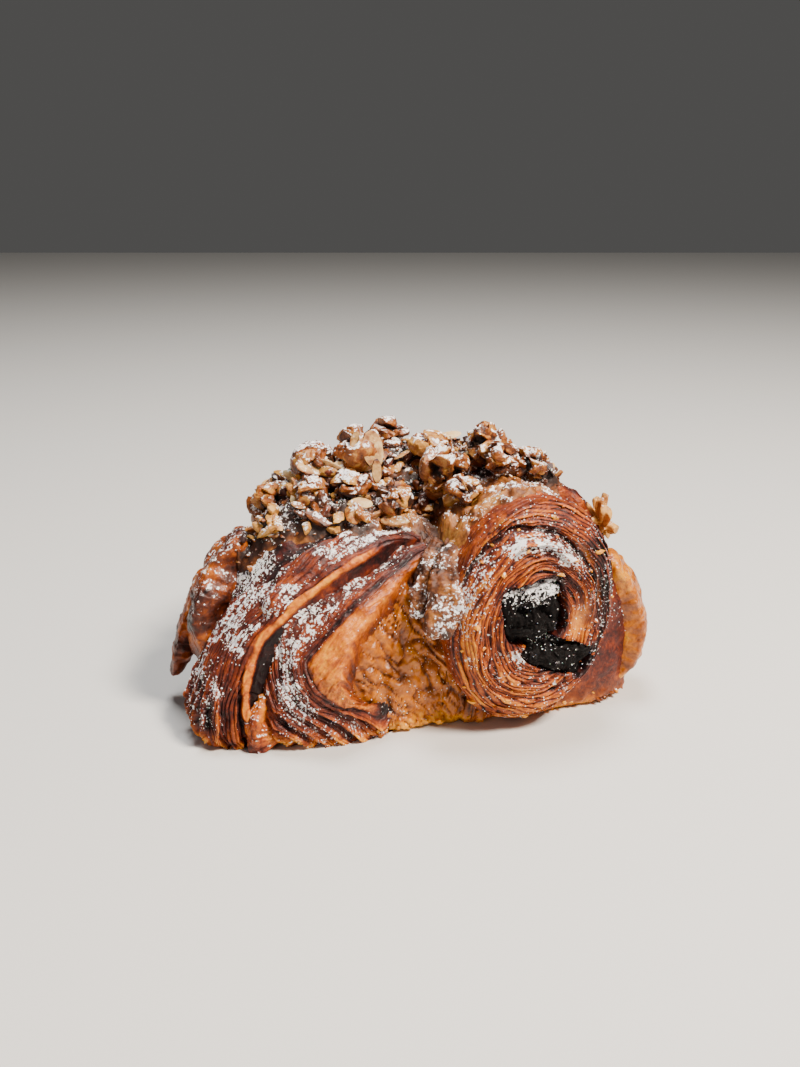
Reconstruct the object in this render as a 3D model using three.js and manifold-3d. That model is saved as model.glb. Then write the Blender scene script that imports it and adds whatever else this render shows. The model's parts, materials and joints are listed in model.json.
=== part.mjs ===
// A double-baked hazelnut croissant: laminated dough rolled round two sticks of chocolate, a cap of
// frangipane, chopped caramelised hazelnuts. Millimetres, +Z up, the origin at the centre of the box
// round it, on the table. The side that shows faces -Y: on its right is the rolled end with the
// chocolate, and on its left two deep folds fan out from the middle of the cap down to the table.
import * as THREE from "three";
import { mergeVertices } from "three/addons/utils/BufferGeometryUtils.js";
import Module from "manifold-3d";

const wasm = await Module();
wasm.setup();

// ---------------------------------------------------------------- driving sizes, millimetres and degrees
const HUB = { x: 4, y: -12 }; // where every wrap and fold fans out from, seen from above
const HEART = { x: 6, y: -6, z: 8 }; // a point deep in the dough, which the folds stand out from
const CREST = 52.5; // height of the dough along its crest, under the topping
const HUB_HEIGHT = 43; // height of the dough at the hub, in the hollow between the arms
const WRAP_EDGES = [-62, -22, 14, 50, 128, 164, 198]; // where the wraps' cut edges run, round the hub
const WRAP_STEP = 2.3; // how far each wrap lies below the one it comes out from under
const WRAP_TWIST = 15; // how far an edge turns round the hub on its way up
// The rolled end: the middle of its face, its sizes, how far it turns to the right and how far it tilts.
const ROLL = { x: 27.4, y: -33, z: 28.2, width: 40, height: 52.5, turn: 20, tilt: 9, length: 40 };
const FACE_BULGE = 3.4; // how far the middle of the rolled face stands out from its rim
const RIM_ROUNDING = 3.6; // how far the rolled face's rim rounds back
const GROOVE_DEPTH = 2; // the groove that parts the rolled face's inner disc from its outer turn
const DISC_LIFT = 1.5; // how far the inner disc's edge stands out beside the groove
const SHEET_STEP = 1.5; // how far one lapped sheet of a fold stands out over the next, at the toe
const SHEET_PITCH = 5; // how far apart the lapped sheets lie
const GAP = 0.3; // clearance between pieces that touch
const CAP = { x: -2, y: 0, thick: 4 }; // the middle of the frangipane, and its thickness
const SMALL_NUTS = 54; // chopped hazelnuts baked into the frangipane
const NUT_SIZE = [2, 3.8]; // half lengths of the smallest and the largest of them
const CRUST_CRUMBS = 30; // ragged bits of crust along the foot of the dough
const SEED = 41;
const MOST_TRIES = 4000; // places looked at for the small nuts
const NUT_SPACING = 0.72; // how near two nuts may lie, as a share of their half lengths together

// Where the dough's outer edge runs: its distance from the hub in each direction round it.
const REACH = [
  [-80, 25], [-50, 25], [-25, 33], [0, 49], [30, 51], [60, 51], [90, 52], [120, 53],
  [150, 56], [178, 58], [196, 56], [212, 48], [228, 39], [244, 31], [262, 26], [280, 25],
];

// How far the frangipane reaches from its middle, in each direction round it.
const CAP_REACH = [
  [0, 37], [40, 33], [90, 25], [140, 32], [180, 41], [206, 42], [222, 34], [238, 26],
  [256, 18], [278, 19], [296, 31], [318, 39], [340, 39], [360, 37],
];

// The largest nut clusters: where they lie, seen from above, their half sizes, and how far up they stand.
const CLUSTERS = [
  { x: 8, y: -6.5, half: 8.8, up: 0 }, { x: 17.5, y: 2.5, half: 7.1, up: 1.5 },
  { x: 4, y: 6.5, half: 6.6, up: -0.5 }, { x: 20.5, y: -9, half: 6.3, up: 0 },
  { x: 29, y: -2.5, half: 6.6, up: 0 }, { x: 11.5, y: -16.5, half: 5.2, up: 0.3 },
  { x: -4, y: -13.5, half: 5.9, up: 0 }, { x: -13, y: -1.5, half: 7.8, up: 2.6 },
  { x: -24.5, y: -2.5, half: 6.6, up: 0.5 }, { x: -34, y: -6, half: 6.1, up: 0.5 },
  { x: -25, y: -12.5, half: 5.6, up: 0 }, { x: -34, y: -16, half: 4.4, up: 0 },
  { x: -14.5, y: -12.5, half: 5.4, up: 0 }, { x: -6, y: 16, half: 6.6, up: 0 },
  { x: -23, y: 12, half: 6.3, up: 0 }, { x: 21, y: 13.5, half: 5.9, up: 0 },
];

const HANGING_CRUMB = { x: 46, y: 4, z: 39.5, half: 6 }; // the jagged crumb behind the roll's shoulder

// ---------------------------------------------------------------- general tools
const v = (x, y, z) => new THREE.Vector3(x, y, z);
const rad = THREE.MathUtils.degToRad;
const mix = THREE.MathUtils.lerp;
const smooth = THREE.MathUtils.smoothstep;
const through = (points) =>
  new THREE.CatmullRomCurve3(points.map((p) => v(...p)), false, "catmullrom", 0.5);

/** A size at a share t of the way along something, from sizes given at even steps from start to end. */
function between(sizes, t) {
  const place = t * (sizes.length - 1);
  const from = Math.min(Math.floor(place), sizes.length - 2);
  return mix(sizes[from], sizes[from + 1], place - from);
}

/** A value between rows of [place, value], straight from one row to the next. */
function along(rows, place) {
  const next = Math.max(1, rows.findIndex(([end]) => place <= end));
  const [a, low] = rows[next - 1];
  const [b, high] = rows[next];
  return mix(low, high, THREE.MathUtils.clamp((place - a) / (b - a), 0, 1));
}

/** A repeatable source of random numbers from 0 to 1. */
function dice(seed) {
  let state = seed >>> 0;
  return () => {
    state = (state + 0x6d2b79f5) >>> 0;
    let t = Math.imul(state ^ (state >>> 15), 1 | state);
    t = (t + Math.imul(t ^ (t >>> 7), 61 | t)) ^ t;
    return ((t ^ (t >>> 14)) >>> 0) / 2 ** 32;
  };
}

/** A slow wave through space, from -1 to 1: the unevenness of hand-rolled dough. */
const wobble = (p, scale) =>
  (Math.sin(p.x / scale + 1.3) * Math.cos(p.y / scale - 0.7) +
    Math.sin((p.y + p.z) / scale + 2.1) * Math.cos((p.x - p.z) / scale)) / 2;

/** A closed skin over rings of equal length, with a point at the middle of each end. */
function skinOver(rings) {
  const count = rings[0].length;
  const corners = rings.flat();
  const middle = (ring) => ring.reduce((sum, p) => sum.add(p), v(0, 0, 0)).divideScalar(count);
  const first = corners.length;
  corners.push(middle(rings[0]), middle(rings.at(-1)));
  const faces = [];
  for (let r = 0; r + 1 < rings.length; r++) {
    for (let i = 0; i < count; i++) {
      const a = r * count + i;
      const b = r * count + ((i + 1) % count);
      faces.push(a, b, a + count, b, b + count, a + count);
    }
  }
  for (let i = 0; i < count; i++) {
    const next = (i + 1) % count;
    faces.push(first, next, i);
    faces.push(first + 1, first - count + i, first - count + next);
  }
  const skin = new THREE.BufferGeometry().setFromPoints(corners);
  skin.setIndex(faces);
  return skin;
}

/** A three.js geometry as a solid, turned the right way out if need be. */
function solid(geometry) {
  const bare = geometry.clone();
  for (const name of ["normal", "uv"]) bare.deleteAttribute(name);
  const merged = mergeVertices(bare, 1e-4);
  const triVerts = new Uint32Array(merged.index.array);
  const corner = (i) => v().fromBufferAttribute(merged.attributes.position, triVerts[i]);
  let volume = 0;
  for (let i = 0; i < triVerts.length; i += 3) {
    volume += corner(i).dot(corner(i + 1).cross(corner(i + 2)));
  }
  for (let i = 0; volume < 0 && i < triVerts.length; i += 3) {
    [triVerts[i + 1], triVerts[i + 2]] = [triVerts[i + 2], triVerts[i + 1]];
  }
  const vertProperties = merged.attributes.position.array;
  return new wasm.Manifold(new wasm.Mesh({ numProp: 3, vertProperties, triVerts }));
}

const joined = (parts) => parts.reduce((all, part) => all.add(part));
const largest = (made) => made.decompose().sort((a, b) => b.volume() - a.volume())[0];

/** The bare geometry of a solid. */
function geometryOf(made) {
  const { vertProperties, triVerts } = made.getMesh();
  const geometry = new THREE.BufferGeometry();
  geometry.setAttribute("position", new THREE.BufferAttribute(vertProperties, 3));
  geometry.setIndex(new THREE.BufferAttribute(triVerts, 1));
  geometry.computeVertexNormals();
  return geometry;
}

/** A solid as a named mesh with its own material, without loose scraps or steps finer than fine. */
function piece(name, made, fine, color, roughness) {
  const material = new THREE.MeshStandardMaterial({ color, roughness, metalness: 0 });
  const mesh = new THREE.Mesh(geometryOf(largest(made.asOriginal().simplify(fine))), material);
  mesh.name = name;
  return mesh;
}

// ---------------------------------------------------------------- the dough's wraps
/** The radius of an outline in a direction, from its list of directions and radii. */
function radiusAt(outline, angle) {
  const first = outline[0][0];
  const turned = THREE.MathUtils.euclideanModulo(angle - first, 360) + first;
  const next = outline.findIndex(([end]) => turned <= end);
  const [a, low] = outline[next - 1] ?? outline[0];
  const [b, high] = outline[next];
  return next ? mix(low, high, smooth(turned, a, b)) : low;
}

/** How the dough's surface runs, as shares of the radius and the height, from the table in to the hub. */
const rise = through([
  [0.9, 0, 0], [0.98, 0.06, 0], [1, 0.22, 0], [0.975, 0.42, 0], [0.9, 0.66, 0], [0.76, 0.87, 0],
  [0.57, 0.985, 0], [0.4, 1, 0], [0.24, 0.97, 0], [0.1, 0.9, 0], [0.04, 0.88, 0],
]);

const WRAP_ENDS = [REACH[0][0], ...WRAP_EDGES, REACH.at(-1)[0]];

/** How many steps the wrap at this angle lies below the middle one, and how far along it the angle is. */
function wrapAt(angle) {
  const next = WRAP_ENDS.findIndex((edge, i) => i && angle < edge);
  const from = WRAP_ENDS[next - 1];
  const steps = Math.abs(next - WRAP_ENDS.length / 2) - 0.5;
  return { steps, share: (angle - from) / (WRAP_ENDS[next] - from) };
}

/** The dough's body: wraps that fan out round the hub, each one step lower than the last. */
function body(grow) {
  const angles = [];
  for (let k = 0; k + 1 < WRAP_ENDS.length; k++) {
    const [from, to] = [WRAP_ENDS[k] + 1, WRAP_ENDS[k + 1] - 1];
    const count = Math.max(3, Math.round((to - from) / 12));
    for (let i = 0; i < count; i++) angles.push(mix(from, to, i / (count - 1)));
  }
  const rings = [];
  const levels = 11;
  for (let level = 0; level <= levels; level++) {
    const { x: share, y: height } = rise.getPoint(level / levels);
    const twist = WRAP_TWIST * (height - 0.4);
    rings.push(
      angles.map((angle) => {
        const wrap = wrapAt(angle);
        const turned = angle + twist;
        const below = wrap.steps - 0.5 * Math.sin(Math.PI * wrap.share);
        const drop = WRAP_STEP * below * smooth(share, 0.1, 0.5);
        const radius = (radiusAt(REACH, turned) - drop + grow) * share;
        const awayFromFront = smooth(Math.abs(turned - 250), 20, 75);
        const crest = mix(HUB_HEIGHT, CREST, awayFromFront * smooth(share, 0.05, 0.45));
        const p = v(HUB.x, HUB.y, height * (crest + grow));
        p.x += radius * Math.cos(rad(turned));
        p.y += radius * Math.sin(rad(turned));
        p.z -= drop * smooth(height, 0.2, 0.7);
        const uneven = 0.77 * wobble(p, 7) * smooth(height, 0, 0.2);
        return p.add(v(uneven, uneven, uneven));
      }),
    );
  }
  return solid(skinOver(rings));
}

// ---------------------------------------------------------------- folds, drips and flakes
const SQUARENESS = 0.85; // under 1, a fold's section is fuller than an ellipse
const ROUNDED_END = 0.08; // the share of a fold's length over which each end rounds off
const END_RADIUS = 0.085; // a little more than that, so that the end keeps some thickness

/**
 * A fold laid along a spine. Its section reaches left and right of the spine, stands out from the
 * dough's heart by out and goes in by deep. Sheets lap over each other across it, by lapped. At the toe
 * the right side swings from facing the front to lying along the body, as far as swing says.
 */
function fold({ spine, left, right, out, deep, steps = 16, sides = 14, grow = 0, lapped = 0, swing = 0 }) {
  const curve = through(spine);
  const heart = v(HEART.x, HEART.y, HEART.z);
  const rings = [];
  for (let s = 0; s <= steps; s++) {
    const t = s / steps;
    const p = curve.getPoint(t);
    const forward = curve.getTangent(t);
    const outward = p.clone().sub(heart);
    outward.addScaledVector(forward, -outward.dot(forward)).normalize();
    const side = forward.clone().cross(outward);
    const nearEnd = Math.max(0, Math.abs(t - 0.5) - (0.5 - ROUNDED_END));
    const close = Math.sqrt(1 - (nearEnd / END_RADIUS) ** 2);
    const toe = smooth(t, 0.6, 0.88);
    const swung = swing * smooth(t, 0.35, 0.85);
    const ring = [];
    for (let i = 0; i < sides; i++) {
      const turn = (2 * Math.PI * i) / sides;
      const c = Math.sign(Math.cos(turn)) * Math.abs(Math.cos(turn)) ** SQUARENESS;
      const h = Math.sin(turn);
      const wide = between(c > 0 ? left : right, t) + grow;
      const high = between(h > 0 ? out : deep, t) + grow;
      const across = c * wide * close;
      const q = p.clone().addScaledVector(side, across);
      const sheet = THREE.MathUtils.euclideanModulo(across / SHEET_PITCH, 1) - 0.5;
      const relief = h > 0 ? sheet * lapped * (0.3 + toe) * h : 0;
      q.addScaledVector(outward, h * high * close + relief);
      const away = Math.max(0, -across);
      q.addScaledVector(v(0.35, 0.7 + 0.012 * away, 0), swung * away);
      ring.push(q.addScaledVector(outward, wobble(q, 4) * 0.5));
    }
    rings.push(ring);
  }
  return solid(skinOver(rings));
}

const FOLDS = [
  {
    // the left fold, whose lip hangs over the gap
    spine: [
      [3, -12, 42], [-8, -16.5, 43], [-18.5, -22, 40], [-29.5, -28, 34], [-38.5, -33.5, 25],
      [-44, -38.5, 15], [-46, -41, 7], [-44.5, -40, 0],
    ],
    left: [7, 14, 12], right: [5, 7.5, 8.5, 7.2, 9, 12], out: [2, 2, 2], deep: [8, 14, 16],
    sides: 22, lapped: SHEET_STEP, swing: 1,
  },
  {
    // the right fold, steep on its left and with a long slope on its right
    spine: [
      [6.5, -16, 42], [-1.5, -21, 38.5], [-10.5, -28.5, 33.5], [-19.5, -35, 26.5], [-26.5, -39, 18.5],
      [-29.5, -41, 11], [-29.5, -41, 5], [-28, -38, 0],
    ],
    left: [3.5, 7.5, 11.5, 11.5, 7.5, 5], right: [3, 3.8, 6.5, 13, 19, 22], out: [1.5, 2, 2],
    deep: [8, 12, 14], sides: 22, lapped: SHEET_STEP, swing: 1,
  },
  {
    // the petal between the two toes
    spine: [[-33, -37, 17], [-36, -41, 9], [-36.5, -42, 3], [-36, -41, 0]],
    left: [1.5, 2, 2.4], right: [1.5, 2, 2.4], out: [1.5, 1.5, 2], deep: [6, 7, 8],
    steps: 6, sides: 8,
  },
  {
    // the glassy skirt round the right of the rolled end
    spine: [[46, -11, 36], [51.5, -10, 28], [54.5, -10, 19], [53.5, -11, 10], [48, -12, 3]],
    left: [5, 6, 5], right: [6, 8, 6], out: [2, 1.6, 2], deep: [7, 9, 7],
    steps: 8, sides: 10,
  },
  {
    // the glassy sheet at the far left
    spine: [[-41, -10, 41], [-48.5, -12.5, 35.5], [-52.5, -15.5, 28], [-53.2, -18, 20], [-51, -20, 12]],
    left: [6, 9, 7], right: [7, 11, 8], out: [1.2, 1.2, 1.2], deep: [8, 12, 9],
    steps: 10, sides: 12,
  },
  {
    // the flake that hangs from it
    spine: [[-50, -15, 33], [-54.5, -16, 25], [-57.6, -16, 16], [-59.3, -16, 6.5]],
    left: [3, 4, 2.6], right: [4, 5.5, 2.4], out: [1, 0.9, 0.7], deep: [6, 2.5, 0.8],
    steps: 8, sides: 8,
  },
];

// ---------------------------------------------------------------- the rolled end
const rollAxis = v(Math.sin(rad(ROLL.turn)), -Math.cos(rad(ROLL.turn)), 0);
const rollAcross = v(Math.cos(rad(ROLL.turn)), Math.sin(rad(ROLL.turn)), 0);

/** A point of the roll: forward along its axis, at a share of its radius, at a turn round it. */
function rollPoint(forward, share, turn, grow) {
  const p = v(ROLL.x, ROLL.y, ROLL.z).addScaledVector(rollAxis, forward);
  const wide = (ROLL.width / 2 + grow) * share * Math.cos(turn);
  const high = (ROLL.height / 2 + grow) * share * Math.sin(turn);
  const tilt = rad(ROLL.tilt);
  p.addScaledVector(rollAcross, wide * Math.cos(tilt) + high * Math.sin(tilt));
  p.z += high * Math.cos(tilt) - wide * Math.sin(tilt);
  return p;
}

// Where the groove of the rolled face runs: its share of the radius at turns in radians, from the right
// of the face over the top to its left.
const GROOVE = [[-0.1, 0.65], [1.17, 0.66], [1.6, 0.76], [2.09, 0.87], [2.65, 0.93], [3.2, 1]];

/** How far the face stands out at a share of its radius: bulge, rounded rim, groove and inner disc. */
function faceRelief(share, turn) {
  const groove = along(GROOVE, turn);
  const open = smooth(turn, -0.1, 0.4) * (1 - smooth(turn, 2.75, 3.15));
  const crease = Math.exp(-(((share - groove) / 0.05) ** 2));
  const disc = Math.exp(-(((share - groove + 0.13) / 0.1) ** 2));
  const bulge = FACE_BULGE * (1 - share ** 2) - RIM_ROUNDING * smooth(share, 0.76, 1) ** 2;
  return bulge + open * (DISC_LIFT * disc - GROOVE_DEPTH * crease);
}

/** The roll of laminated dough, from deep in the croissant out to its spiral face. */
function roll(grow) {
  const sides = 32;
  const rings = [];
  const turns = Array.from({ length: sides }, (_, i) => (2 * Math.PI * i) / sides);
  for (const back of [1, 0.6, 0.3, 0.15]) {
    const share = mix(1.01, 0.85, smooth(back, 0.1, 1));
    rings.push(turns.map((turn) => rollPoint(-ROLL.length * back, share, turn, grow)));
  }
  const faceRings = 13;
  for (let r = 0; r < faceRings; r++) {
    const share = 1 - r / faceRings;
    rings.push(turns.map((turn) => rollPoint(faceRelief(share, turn) + grow, share, turn, grow)));
  }
  return solid(skinOver(rings));
}

/** A stick of chocolate that runs back along the roll from in front of its face. */
function stick({ x, z, wide, high, tilt, proud }, grow) {
  const w = wide / 2 + grow;
  const h = high / 2 + grow;
  const outline = new THREE.Shape();
  const corners = [[-w, -h * 0.7], [-w * 0.6, -h], [w * 0.8, -h], [w, -h * 0.5], [w * 0.9, h * 0.8],
    [w * 0.5, h], [-w * 0.7, h * 0.95], [-w, h * 0.4]];
  corners.forEach(([a, b], i) => (i ? outline.lineTo(a, b) : outline.moveTo(a, b)));
  const depth = ROLL.length * 0.8 + proud + 2 * grow;
  const bar = new THREE.ExtrudeGeometry(outline, { depth, steps: 3, bevelEnabled: false });
  bar.translate(0, 0, grow - depth);
  bar.rotateZ(rad(tilt));
  const turned = new THREE.Matrix4().makeBasis(rollAcross, v(0, 0, 1), rollAxis);
  turned.setPosition(rollPoint(proud + FACE_BULGE, 0, 0, 0).addScaledVector(rollAcross, x).setZ(z));
  return solid(bar.applyMatrix4(turned));
}

const STICKS = {
  chocolate_upper: { x: -2.8, z: 31, wide: 13.4, high: 12.8, tilt: 8, proud: 2.6 },
  chocolate_lower: { x: 3.5, z: 19.8, wide: 16.5, high: 7.2, tilt: -24, proud: 1.8 },
};

// ---------------------------------------------------------------- nuts and crumbs
/** A chopped nut or a crumb: an icosahedron knocked out of true, of half size 1. */
function chunk(random, ragged = 0.24) {
  const bare = new THREE.IcosahedronGeometry(1, 0);
  for (const name of ["normal", "uv"]) bare.deleteAttribute(name);
  const shape = mergeVertices(bare, 1e-3);
  const corners = shape.attributes.position;
  for (let i = 0; i < corners.count; i++) {
    const corner = v().fromBufferAttribute(corners, i);
    corner.multiplyScalar(1 - ragged + 2 * ragged * random());
    corners.setXYZ(i, ...corner.toArray());
  }
  shape.scale(1, mix(0.65, 0.95, random()), mix(0.55, 0.9, random()));
  return shape.rotateX(6 * random()).rotateY(6 * random()).rotateZ(6 * random());
}

/** A chunk at a place, of a half size. */
const placed = (shape, at, half) => solid(shape.clone().scale(half, half, half).translate(...at));

/** Drops a point straight down onto a solid and gives the height it meets. */
function dropper(made) {
  const material = new THREE.MeshBasicMaterial({ side: THREE.DoubleSide });
  const mesh = new THREE.Mesh(geometryOf(made), material);
  const ray = new THREE.Raycaster();
  return (x, y) => {
    ray.set(v(x, y, 200), v(0, 0, -1));
    const hit = ray.intersectObject(mesh)[0];
    return hit ? hit.point.z : 0;
  };
}

// ---------------------------------------------------------------- the solids
const tray = solid(new THREE.BoxGeometry(400, 400, 100).translate(0, 0, -50));
const bareDough = (grow) =>
  joined([body(grow), ...FOLDS.map((f) => fold({ ...f, grow })), roll(grow)]).subtract(tray);

/** The ragged crumbs of crust round the foot of the dough. */
function crustCrumbs() {
  const random = dice(SEED);
  return Array.from({ length: CRUST_CRUMBS }, (_, i) => {
    const angle = (360 * (i + 0.6 * random())) / CRUST_CRUMBS;
    const radius = radiusAt(REACH, angle) * mix(0.86, 0.9, random());
    const half = mix(2, 3.4, random());
    const at = [HUB.x + radius * Math.cos(rad(angle)), HUB.y + radius * Math.sin(rad(angle)), 1.2];
    return placed(chunk(random, 0.3), at, half);
  });
}

const doughWhole = bareDough(0);
const doughAndGap = bareDough(GAP);
const doughTop = dropper(doughWhole);

/** The frangipane, spread over the top of the dough, before the dough is cut out of it. */
function cap(grow) {
  const rings = [];
  const sides = 32;
  const levels = 5;
  for (const over of [false, true]) {
    for (let k = 1; k <= levels; k++) {
      const share = over ? (levels + 1 - k) / levels : k / levels;
      rings.push(
        Array.from({ length: sides }, (_, i) => {
          const angle = (360 * i) / sides;
          const radius = (radiusAt(CAP_REACH, angle) + grow) * share;
          const x = CAP.x + radius * Math.cos(rad(angle));
          const y = CAP.y + radius * Math.sin(rad(angle));
          const p = v(x, y, doughTop(x, y));
          const thick = CAP.thick * Math.sqrt(1 - 0.93 * share ** 6) + 0.6 * wobble(p, 2.6);
          p.z += over ? thick + grow : -2.5;
          return p;
        }),
      );
    }
  }
  return solid(skinOver(rings));
}

// The drips that ran down between the right fold and the roll.
const DRIPS = [
  {
    spine: [
      [12, -12, 47], [10.5, -20, 46.5], [8.8, -27.5, 43], [7, -33.5, 38], [5.4, -37.5, 32], [4.2, -39, 26],
    ],
    left: [3, 3.4, 4.2, 3], right: [3, 3.4, 4.2, 3], out: [2, 1.6, 2], deep: [4, 5, 4],
  },
  {
    spine: [[5, -20, 43], [2.5, -26.5, 39.5], [0.8, -31.5, 34.5], [0, -34, 28.5]],
    left: [2.4, 2, 2.6], right: [2.4, 2, 2.6], out: [1, 1, 1.2], deep: [3, 4, 3],
  },
];

const capSolid = joined([cap(0), ...DRIPS.map((drip) => fold({ ...drip, steps: 10, sides: 8 }))]);
const capTop = dropper(capSolid);

/** One nut cluster: a handful of chunks stuck together, standing on the frangipane. */
function cluster({ x, y, half, up }, random, grow) {
  const lumps = Math.min(5, Math.round(half));
  const parts = [];
  for (let i = 0; i < lumps; i++) {
    const turn = (2 * Math.PI * i) / lumps;
    const away = i ? half * 0.52 : 0;
    const size = half * (i ? mix(0.46, 0.6, random()) : 0.66);
    const cx = x + away * Math.cos(turn);
    const cy = y + away * Math.sin(turn);
    const cz = capTop(x, y) + up + half * mix(0.15, 0.65, random());
    parts.push(placed(chunk(random), [cx, cy, cz], size + grow));
  }
  return joined(parts);
}

const clusterAt = (i, grow) => cluster(CLUSTERS[i], dice(SEED + i), grow);

/** The chopped nuts baked into the frangipane, largest first, each clear of the ones before. */
function smallNuts() {
  const random = dice(SEED);
  const taken = CLUSTERS.map(({ x, y, half }) => ({ x, y, half }));
  const nuts = [];
  for (let tries = 0; nuts.length < SMALL_NUTS && tries < MOST_TRIES; tries++) {
    const half = mix(...NUT_SIZE.toReversed(), nuts.length / SMALL_NUTS);
    const angle = 360 * random();
    const radius = radiusAt(CAP_REACH, angle) * 0.93 * Math.sqrt(random());
    const x = CAP.x + radius * Math.cos(rad(angle));
    const y = CAP.y + radius * Math.sin(rad(angle));
    const room = (other) => Math.hypot(other.x - x, other.y - y) - NUT_SPACING * (other.half + half);
    if (taken.some((other) => room(other) < 0)) continue;
    taken.push({ x, y, half });
    nuts.push(placed(chunk(random), [x, y, capTop(x, y) + 0.3 * half], half));
  }
  return nuts;
}

const croissant = new THREE.Group();
const pockets = joined([stick(STICKS.chocolate_upper, GAP), stick(STICKS.chocolate_lower, GAP)]);
const dough = joined([doughWhole, ...crustCrumbs()]).subtract(tray).subtract(pockets);
croissant.add(piece("dough", dough, 0.04, 0xa55f2a, 0.55));
croissant.add(piece("chocolate_upper", stick(STICKS.chocolate_upper, 0), 0.01, 0x1d1412, 0.75));
const lower = stick(STICKS.chocolate_lower, 0).subtract(stick(STICKS.chocolate_upper, GAP));
croissant.add(piece("chocolate_lower", lower, 0.01, 0x1d1412, 0.75));

const clusterRoom = joined(CLUSTERS.map((_, i) => clusterAt(i, GAP)));
const topping = joined([capSolid, ...smallNuts()]).subtract(clusterRoom).subtract(doughAndGap);
croissant.add(piece("frangipane_and_nuts", topping, 0.12, 0xb98a4e, 0.6));
const underClusters = joined([cap(GAP), doughAndGap]);
CLUSTERS.forEach((_, i) => {
  const others = CLUSTERS.slice(0, i).map((__, k) => clusterAt(k, GAP));
  const made = others.reduce((left, other) => left.subtract(other), clusterAt(i, 0));
  croissant.add(piece(`nut_cluster_${i + 1}`, made.subtract(underClusters), 0.14, 0x9a6233, 0.5));
});
const crumbAt = [HANGING_CRUMB.x, HANGING_CRUMB.y, HANGING_CRUMB.z];
const crumb = placed(chunk(dice(SEED), 0.5), crumbAt, HANGING_CRUMB.half).subtract(underClusters);
croissant.add(piece("hanging_crumb", crumb, 0.05, 0xa8703a, 0.6));

const root = new THREE.Group();
root.add(croissant);
const box = new THREE.Box3().setFromObject(croissant);
const middle = box.getCenter(v());
croissant.position.set(-middle.x, -middle.y, -box.min.z);

export default root;
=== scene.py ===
# %% [markdown]
# # A double-baked hazelnut croissant
#
# Laminated dough is butter and dough folded into many thin sheets. Here it is rolled round two sticks
# of chocolate, bent round a hub so that its wraps fan out, baked, spread with frangipane and chopped
# hazelnuts, baked again and dusted with icing sugar. The lesson builds it in that order.
#
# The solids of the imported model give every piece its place. They are coarse, so each one is replaced
# here by a fine mesh of the same form, worked out from the same sizes.

import json
import math

import bpy
import numpy as np
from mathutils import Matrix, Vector
from mathutils.bvhtree import BVHTree

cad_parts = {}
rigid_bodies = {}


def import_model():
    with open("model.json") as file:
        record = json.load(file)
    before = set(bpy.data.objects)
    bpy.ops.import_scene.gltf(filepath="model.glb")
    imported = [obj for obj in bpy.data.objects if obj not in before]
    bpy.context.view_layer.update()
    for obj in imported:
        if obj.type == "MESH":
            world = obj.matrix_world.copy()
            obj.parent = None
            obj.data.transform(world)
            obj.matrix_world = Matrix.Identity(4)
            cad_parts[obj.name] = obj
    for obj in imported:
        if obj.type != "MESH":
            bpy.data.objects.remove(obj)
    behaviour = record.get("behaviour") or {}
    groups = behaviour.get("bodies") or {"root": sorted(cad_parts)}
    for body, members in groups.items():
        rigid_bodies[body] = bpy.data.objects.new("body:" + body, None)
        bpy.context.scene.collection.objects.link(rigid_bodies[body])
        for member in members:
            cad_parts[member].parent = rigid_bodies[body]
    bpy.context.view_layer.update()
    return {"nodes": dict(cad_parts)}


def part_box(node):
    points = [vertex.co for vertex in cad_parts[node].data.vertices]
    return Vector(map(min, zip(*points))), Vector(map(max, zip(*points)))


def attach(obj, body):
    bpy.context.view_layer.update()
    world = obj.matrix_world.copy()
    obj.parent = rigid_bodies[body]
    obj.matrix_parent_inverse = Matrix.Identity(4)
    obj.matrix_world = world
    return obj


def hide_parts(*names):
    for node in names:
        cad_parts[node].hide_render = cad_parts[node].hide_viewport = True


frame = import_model()
MM = 0.001
print("nodes in the frame:", len(frame["nodes"]))

# %% [markdown]
# ## The camera
#
# The photograph was taken from a hand's length away, looking down a little, with the wide lens of a
# telephone. A camera in the same place, with the same lens, shows the croissant at the same angle.

# %% The camera
MIDDLE = np.array([-1.64, -1.40, 0.0])  # the middle of the footprint, in the maker's own millimetres
CAMERA_AT = np.array([-4.0, -255.0, 123.0])  # in the same millimetres
CAMERA_DOWN = 18.6  # degrees below the horizon
LENS = 36.4  # millimetres, on a sensor whose long side is 36
NEAREST_SEEN = 0.01  # metres


def add_camera():
    data = bpy.data.cameras.new("camera")
    data.lens = LENS
    data.clip_start = NEAREST_SEEN
    camera = bpy.data.objects.new("camera", data)
    bpy.context.scene.collection.objects.link(camera)
    camera.location = (CAMERA_AT - MIDDLE) * MM
    camera.rotation_euler = (math.radians(90 - CAMERA_DOWN), 0, 0)
    bpy.context.scene.camera = camera


add_camera()
print("camera at", [round(c, 3) for c in bpy.context.scene.camera.location], "metres")

# %% [markdown]
# ## Tools for making a surface
#
# Food has no straight lines, so every surface here starts as a grid of points in millimetres, which
# plain functions of two directions place. Random-looking lumps come from smooth noise: values on a
# lattice of cells, blended between. A seed keeps each run the same.
#
# Below, a surface's relief is a sum of terms. Each is a height in millimetres times a shape from 0 or -1
# to 1. In a call of noise the second number is the size of its lumps and the last is its seed.


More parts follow.
